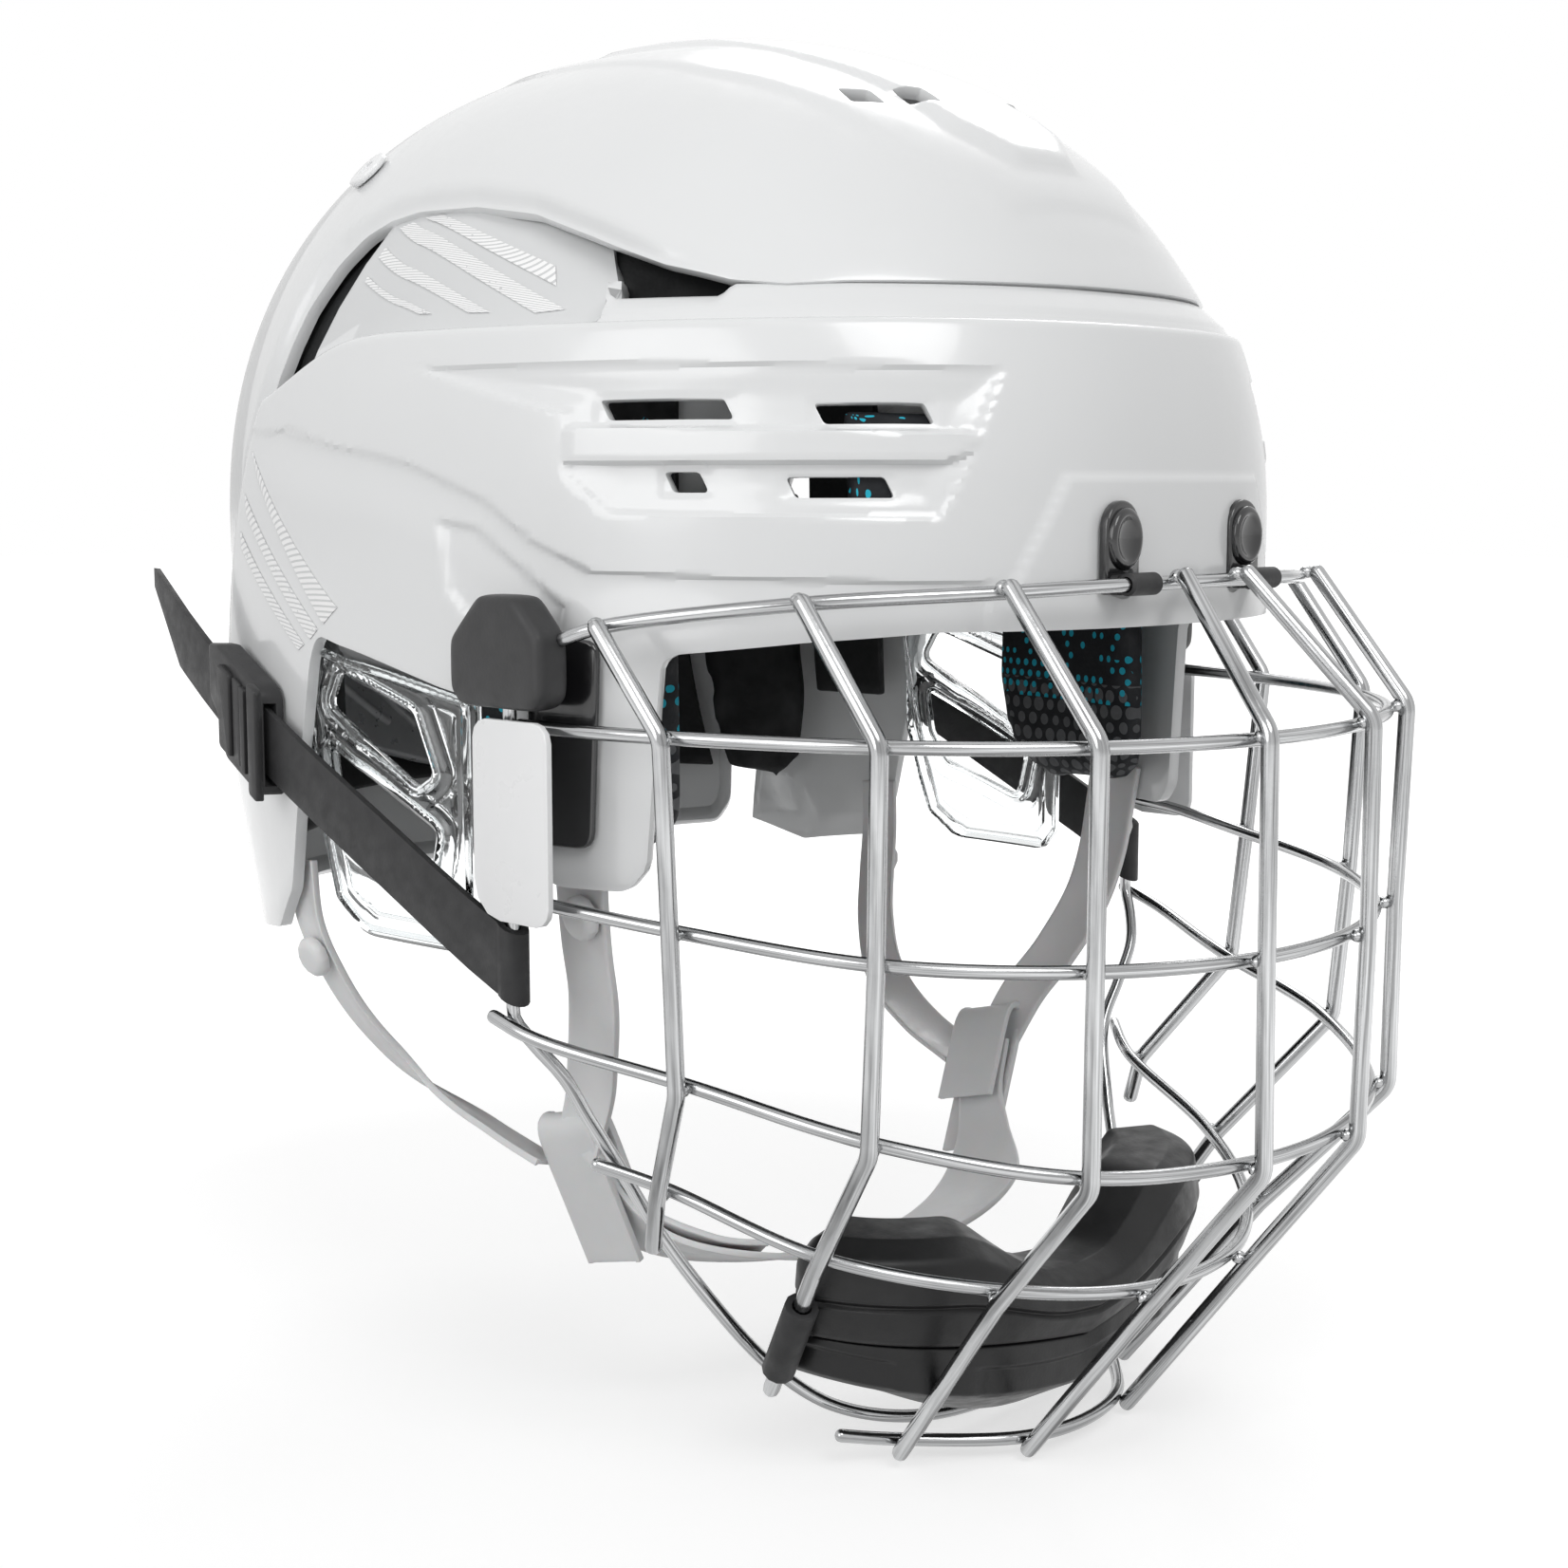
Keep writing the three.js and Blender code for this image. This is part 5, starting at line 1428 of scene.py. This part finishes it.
CUP_HALF, CUP_Y, CUP_DEPTH = 63.8, -88, 35
CUP_REACH, CUP_PLAN = 85, 2.5  # degrees to each side, and the bow's superellipse exponent
CUP_CORNER = 2.2
SMALLEST_END = 0.06  # share of the section that a round end closes down to


def cup_rings(section, steps, drawn_in=0.0):
    """Sections along the cup's bow; the last share drawn_in of it closes to a round end."""
    rings = []
    for i in range(steps + 1):
        way = math.sin(math.pi * (i / steps - 0.5)) if drawn_in else 2 * i / steps - 1
        angle = math.radians(CUP_REACH * way)
        sideways = signed_power(math.sin(angle), 2 / CUP_PLAN)
        forward = math.cos(angle) ** (2 / CUP_PLAN)
        points = np.array(filleted([(*q, 0) for q in section(abs(sideways))], CUP_CORNER, 4))
        if drawn_in:
            open_share = min((1 - abs(way)) / drawn_in, 1)
            middle = points.mean(axis=0)
            points = middle + (points - middle) * max(math.sqrt(1 - (1 - open_share) ** 2), SMALLEST_END)
        rings.append([((CUP_HALF - inward) * sideways, CUP_Y - (CUP_DEPTH - inward) * forward, z)
                      for inward, z, _ in points])
    return rings


def cup_section(share):
    """The shell's section as (inward, z) points; share is 0 at the chin and 1 at the cup's ends."""
    top = -168 + 10 * share
    bottom = -186 + 15 * share * share
    lip = (top + bottom) / 2 + 1.5
    panel = float(smoothstep(0.5, 0.53, share) * (1 - smoothstep(0.8, 0.83, share)))
    return [[-0.4, top], [-0.4, lip + 3.6], [0.7 - panel, lip + 2.4], [0.9 - panel, lip - 3], [2.2, lip - 4.4],
            [14, bottom - 0.4], [19.6, bottom + 0.6], [16.4, bottom + 5], [9, top - 4], [8.6, top]]


def pad_section(share):
    """The cushion's section, as the shell's."""
    low = -168 + 10 * share + 0.3
    wing = float(smoothstep(0.12, 0.62, share))
    top = -152.5 + 5 * share + 11 * wing
    seam = low + (top - low) * 0.42
    return [[-1.6, low], [-4.4, seam - 1], [-3.4, seam], [-4.8, seam + 1.2], [-3.6, top - 3], [2.5, top],
            [15, top + 0.6], [20, top - 5], [20.6, seam], [18.6, low], [9, low]]


def chin_cup():
    """The moulded cup, its cushion and the sleeves that hold it on the bars."""
    shell = bevelled(loft("cup_shell", cup_rings(cup_section, 110)), 1.2, 2, 60)
    finished(smoothed(shell, 40), MATERIALS["cup"], "black_plastic", "cage", "chin_cup")
    pad = smoothed(loft("cup_cushion", cup_rings(pad_section, 100, 0.13)), 50)
    finished(pad, MATERIALS["cushion"], "foam", "cage", "chin_cup_pad")
    clip = refined("cup_clip_left", "cup_sleeve", 0.6, 2, 1, 40)
    finished_pair(clip, "cup_sleeve", MATERIALS["rubber"], "soft_black", "cage", "cup_clip")


# ---------------------------------------------------------------- chin strap

FRONT_STRAP = [[93.4, -62, -53], [92.5, -61, -63], [90.5, -60, -76], [87, -58, -88], [82, -52, -102],
               [77, -45, -114], [74.5, -38, -128]]
REAR_STRAP = [[100.3, 27, -66], [99.4, 26, -80], [95.5, 23.5, -92], [90, 19, -104], [82, 8, -117.5],
              [76, -10, -127], [73.2, -27, -133]]
UNDER_STRAP = [[72.3, -37, -127], [67.6, -38.5, -139], [59, -46, -150], [38, -60, -156], [0, -68, -158.5]]
SLING_TAIL = [[-68, -39, -136], [-62, -45, -145], [-53, -56, -150], [-42, -64, -152]]
STRAP_SECTION = [(-1, -1), (-0.86, -1), (-0.78, -0.55), (0.78, -0.55), (0.86, -1), (1, -1),
                 (1, 1), (0.86, 1), (0.78, 0.55), (-0.78, 0.55), (-0.86, 1), (-1, 1)]


FRONT_WIDTH, REAR_WIDTH, UNDER_WIDTH, SLING_WIDER, STRAP_THICKNESS = 15, 11, 14, 9, 1.6
GUIDE_START, GUIDE_HALF = np.array((75, -36, -119.5)), 9
# The guide's fold, as [out of the band's middle, along the band].
GUIDE_FOLD = [[3.0, 38], [3.0, 22], [3.0, 7], [2.7, 3], [1.7, 0.7], [0, 0], [-1.7, 0.7], [-2.7, 3], [-3.0, 7],
              [-3.0, 16], [-3.0, 25]]


def strap_section(centre, across, up, half, half_thickness):
    return [centre + across * a * half + up * b * half_thickness for a, b in STRAP_SECTION]


def strap_of(name, rings):
    return smoothed(bevelled(loft(name, rings), 0.2, 2, 40), 40)


def ribbon(name, points, width_axis, width, thickness, steps):
    """A strap with raised rims along a curve; its width follows width_axis(t)."""
    path = np.array(catmull(points, 1.0))
    length = np.r_[0, np.cumsum(np.linalg.norm(np.diff(path, axis=0), axis=1))]
    where = np.linspace(0, length[-1], steps + 1)
    path = np.stack([np.interp(where, length, path[:, k]) for k in range(3)], -1)
    tangents = np.gradient(path, axis=0)
    rings = []
    for i, (point, tangent) in enumerate(zip(path, tangents)):
        tangent = tangent / np.linalg.norm(tangent)
        half = (width(i / steps) if callable(width) else width) / 2
        across = np.asarray(width_axis(i / steps), float)
        across = across - tangent * (across @ tangent)
        across /= np.linalg.norm(across)
        up = np.cross(tangent, across)
        rings.append(strap_section(point, across, up, half, thickness / 2))
    return strap_of(name, rings)


def guide_loop():
    """The moulded band that folds over where the straps meet."""
    across, down = np.array((0, 0.97, -0.243)), np.array((-0.38, -0.05, -0.924))
    facing = np.cross(across, down) / -np.linalg.norm(np.cross(across, down))
    path = catmull(GUIDE_FOLD, 1.0)
    rings = []
    for before, (out, along_band), after in zip([path[0], *path], path, [*path[1:], path[-1]]):
        run = after - before
        run /= np.linalg.norm(run)
        centre = GUIDE_START + facing * out + down * along_band
        rings.append(strap_section(centre, across, facing * run[1] - down * run[0], GUIDE_HALF, 0.8))
    return strap_of("guide_loop", rings)


def chin_straps():
    """Moulded straps with raised rims that meet in a folded loop on each side."""
    front = ribbon("front_webbing", FRONT_STRAP, lambda t: (0, 1, 0), lambda t: FRONT_WIDTH - 2.5 * t,
                   STRAP_THICKNESS, 70)
    finished_pair(front, "front_webbing", MATERIALS["strap"], "webbing", "helmet", "front_strap")

    def turning(t):
        return (-0.1 - 0.5 * float(smoothstep(0.5, 0.8, t)), 0.8, 0)

    rear = ribbon("rear_webbing", REAR_STRAP, turning, REAR_WIDTH, STRAP_THICKNESS, 90)
    finished_pair(rear, "rear_webbing", MATERIALS["strap"], "webbing", "helmet", "rear_strap")
    under = through_middle([np.asarray(p, float) for p in UNDER_STRAP])

    def wide(t):
        return UNDER_WIDTH + SLING_WIDER * float(1 - smoothstep(0.2, 0.42, abs(t - 0.5)))

    sling = ribbon("chin_sling", under, lambda t: (0, 1, -0.25), wide, 1.5, 140)
    tail = ribbon("sling_tail", SLING_TAIL, lambda t: (0, 1, -0.4), 13, 1.4, 40)
    finished(joined([sling, tail], "chin_sling"), MATERIALS["strap"], "webbing", "helmet", "under_chin_strap")
    for node, name in (("front_button", "front_stud"), ("rear_button", "rear_stud")):
        stud = refined(node + "_left", name, 0.7, 3, 1, 25)
        finished_pair(stud, name, MATERIALS["soft"], "soft_white", "helmet", node)
    finished_pair(guide_loop(), "guide_loop", MATERIALS["strap"], "soft_white", "helmet", "strap_guide")


# ---------------------------------------------------------------- stage


FLOOR_SIZE, FLOOR_DROP = 12, 0.0006
# name, place, disk diameter, watts
LAMPS = [("key", (-0.55, -1.1, 1.15), 0.9, 9.5), ("fill", (-1.3, -0.1, 0.45), 1.0, 6),
         ("rim", (0.9, 0.5, 1.0), 0.8, 6)]
LAMP_AIM = Vector((0, -0.02, -0.03))
CAMERA_PLACE, CAMERA_AIM = Vector((-0.4145, -0.4267, 0.020)), Vector((0.0103, -0.0207, -0.0545))
LENS, SENSOR = 54.48, 36


def linked_math(tree, operation, a, b):
    """The result of a math node over two outputs."""
    node = tree.nodes.new("ShaderNodeMath")
    node.operation = operation
    tree.links.new(a, node.inputs[0])
    tree.links.new(b, node.inputs[1])
    return node.outputs[0]


def seen(tree):
    """1 for a ray that the camera sees straight, in a shine or through clear plastic, otherwise 0."""
    ray = tree.nodes.new("ShaderNodeLightPath").outputs
    shown = linked_math(tree, "MAXIMUM", ray["Is Camera Ray"], ray["Is Glossy Ray"])
    return linked_math(tree, "MAXIMUM", shown, ray["Is Transmission Ray"])


def map_range(tree, value, **limits):
    node = tree.nodes.new("ShaderNodeMapRange")
    for key, limit in limits.items():
        node.inputs[key.replace("_", " ")].default_value = limit
    tree.links.new(value, node.inputs["Value"])
    return node.outputs[0]


def floor_material():
    """A pale surface that shows white to the camera and still takes a shadow."""
    material = bpy.data.materials.new("pale_floor")
    material.use_nodes = True
    tree = material.node_tree
    tree.nodes.clear()
    diffuse = tree.nodes.new("ShaderNodeBsdfDiffuse")
    diffuse.inputs["Color"].default_value = (0.5, 0.5, 0.5, 1)
    distance = tree.nodes.new("ShaderNodeVectorMath")
    distance.operation = "LENGTH"
    tree.links.new(tree.nodes.new("ShaderNodeTexCoord").outputs["Object"], distance.inputs[0])
    fade = map_range(tree, distance.outputs["Value"], From_Min=0.2, From_Max=0.6, To_Min=0.62, To_Max=1.0)
    glow = tree.nodes.new("ShaderNodeEmission")
    tree.links.new(linked_math(tree, "MULTIPLY", seen(tree), fade), glow.inputs["Strength"])
    both = tree.nodes.new("ShaderNodeAddShader")
    tree.links.new(diffuse.outputs[0], both.inputs[0])
    tree.links.new(glow.outputs[0], both.inputs[1])
    tree.links.new(both.outputs[0], tree.nodes.new("ShaderNodeOutputMaterial").inputs["Surface"])
    return material


def make_world():
    """White where it is seen, and a dimmer light on the pieces."""
    world = bpy.data.worlds.new("studio")
    bpy.context.scene.world = world
    world.use_nodes = True
    tree = world.node_tree
    background = next(n for n in tree.nodes if n.type == "BACKGROUND")
    background.inputs["Color"].default_value = (1, 1, 1, 1)
    tree.links.new(map_range(tree, seen(tree), To_Min=0.43, To_Max=1.0), background.inputs["Strength"])


def aimed(name, data, place, aim):
    """An object that looks from one place at another."""
    obj = linked(name, data)
    obj.location = place
    obj.rotation_euler = (aim - Vector(place)).to_track_quat("-Z", "Y").to_euler()
    return obj


def make_stage():
    bpy.ops.object.select_all(action="DESELECT")
    bpy.ops.mesh.primitive_plane_add(size=FLOOR_SIZE, location=(0, 0, cad_box[0][2] - FLOOR_DROP))
    floor = bpy.context.active_object
    floor.name = "floor"
    floor.data.materials.append(floor_material())
    make_world()
    for name, place, size, energy in LAMPS:
        data = bpy.data.lights.new(name, "AREA")
        data.shape, data.size, data.energy = "DISK", size, energy
        aimed(name, data, place, LAMP_AIM)
    data = bpy.data.cameras.new("camera")
    data.sensor_width, data.lens, data.clip_start = SENSOR, LENS, 0.01
    bpy.context.scene.camera = aimed("camera", data, CAMERA_PLACE, CAMERA_AIM)
    bpy.context.scene.view_settings.view_transform = "Standard"


# ---------------------------------------------------------------- add-on


class HELMET_OT_materials(bpy.types.Operator):
    """Makes the finishes of every piece"""

    bl_idname = "helmet.materials"
    bl_label = "Materials"

    def execute(self, context):
        make_materials()
        return {"FINISHED"}


class HELMET_OT_front_shell(bpy.types.Operator):
    """Models the front shell with its band, slots and panels"""

    bl_idname = "helmet.front_shell"
    bl_label = "Front shell"

    def execute(self, context):
        front_shell()
        return {"FINISHED"}


class HELMET_OT_rear_shell(bpy.types.Operator):
    """Models the dome that slides in the front shell"""

    bl_idname = "helmet.rear_shell"
    bl_label = "Rear shell"

    def execute(self, context):
        rear_shell()
        return {"FINISHED"}


class HELMET_OT_prints(bpy.types.Operator):
    """Lays the hatched stripes on the shells"""

    bl_idname = "helmet.prints"
    bl_label = "Prints"

    def execute(self, context):
        stripes()
        return {"FINISHED"}


class HELMET_OT_dome_screws(bpy.types.Operator):
    """Models the screws on the dome"""

    bl_idname = "helmet.dome_screws"
    bl_label = "Dome screws"

    def execute(self, context):
        dome_screws()
        return {"FINISHED"}


class HELMET_OT_pads(bpy.types.Operator):
    """Swells the foam pads and lays the liners"""

    bl_idname = "helmet.pads"
    bl_label = "Pads"

    def execute(self, context):
        pads()
        liners()
        return {"FINISHED"}


class HELMET_OT_cradle(bpy.types.Operator):
    """Models the ribbed cradle and its lock"""

    bl_idname = "helmet.cradle"
    bl_label = "Cradle"

    def execute(self, context):
        occipital_fit()
        return {"FINISHED"}


class HELMET_OT_ear_guards(bpy.types.Operator):
    """Models the clear ear guards"""

    bl_idname = "helmet.ear_guards"
    bl_label = "Ear guards"

    def execute(self, context):
        ear_guards()
        return {"FINISHED"}


class HELMET_OT_wires(bpy.types.Operator):
    """Bends the cage's rods and bars and welds them"""

    bl_idname = "helmet.wires"
    bl_label = "Wires"

    def execute(self, context):
        cage_wires()
        weld_beads()
        return {"FINISHED"}


class HELMET_OT_brow_clips(bpy.types.Operator):
    """Models the clips and screws at the brow"""

    bl_idname = "helmet.brow_clips"
    bl_label = "Brow clips"

    def execute(self, context):
        brow_clips()
        return {"FINISHED"}


class HELMET_OT_temple_fittings(bpy.types.Operator):
    """Models bumpers, side plates and caps"""

    bl_idname = "helmet.temple_fittings"
    bl_label = "Temple fittings"

    def execute(self, context):
        temple_fittings()
        return {"FINISHED"}


class HELMET_OT_cage_straps(bpy.types.Operator):
    """Models the side straps and their buckles"""

    bl_idname = "helmet.cage_straps"
    bl_label = "Cage straps"

    def execute(self, context):
        cage_straps()
        return {"FINISHED"}


class HELMET_OT_chin_cup(bpy.types.Operator):
    """Models the chin cup, its cushion and its sleeves"""

    bl_idname = "helmet.chin_cup"
    bl_label = "Chin cup"

    def execute(self, context):
        chin_cup()
        return {"FINISHED"}


class HELMET_OT_chin_straps(bpy.types.Operator):
    """Models the webbing, sling, studs and guides"""

    bl_idname = "helmet.chin_straps"
    bl_label = "Chin straps"

    def execute(self, context):
        chin_straps()
        return {"FINISHED"}


class HELMET_OT_stage(bpy.types.Operator):
    """Sets up floor, world, lamps and camera"""

    bl_idname = "helmet.stage"
    bl_label = "Stage"

    def execute(self, context):
        make_stage()
        return {"FINISHED"}


# In the order in which the pieces are made.
OPERATORS = [
    HELMET_OT_materials, HELMET_OT_front_shell, HELMET_OT_rear_shell, HELMET_OT_prints,
    HELMET_OT_dome_screws, HELMET_OT_pads, HELMET_OT_cradle, HELMET_OT_ear_guards, HELMET_OT_wires,
    HELMET_OT_brow_clips, HELMET_OT_temple_fittings, HELMET_OT_cage_straps, HELMET_OT_chin_cup,
    HELMET_OT_chin_straps, HELMET_OT_stage,
]


class HELMET_PT_panel(bpy.types.Panel):
    """Lists the steps that model the helmet"""

    bl_label = "Helmet"
    bl_idname = "HELMET_PT_panel"
    bl_space_type = "VIEW_3D"
    bl_region_type = "UI"
    bl_category = "Helmet"

    def draw(self, context):
        for name in HelmetSettings.__annotations__:
            self.layout.prop(context.scene.helmet_settings, name)
        for operator in OPERATORS:
            self.layout.operator(operator.bl_idname)


CLASSES = [HelmetSettings, *OPERATORS, HELMET_PT_panel]


def register():
    for cls in CLASSES:
        bpy.utils.register_class(cls)
    bpy.types.Scene.helmet_settings = PointerProperty(type=HelmetSettings)


def unregister():
    del bpy.types.Scene.helmet_settings
    for cls in reversed(CLASSES):
        bpy.utils.unregister_class(cls)


def main():
    register()
    for operator in OPERATORS:
        group, name = operator.bl_idname.split(".")
        getattr(getattr(bpy.ops, group), name)()


if __name__ == "__main__":
    main()
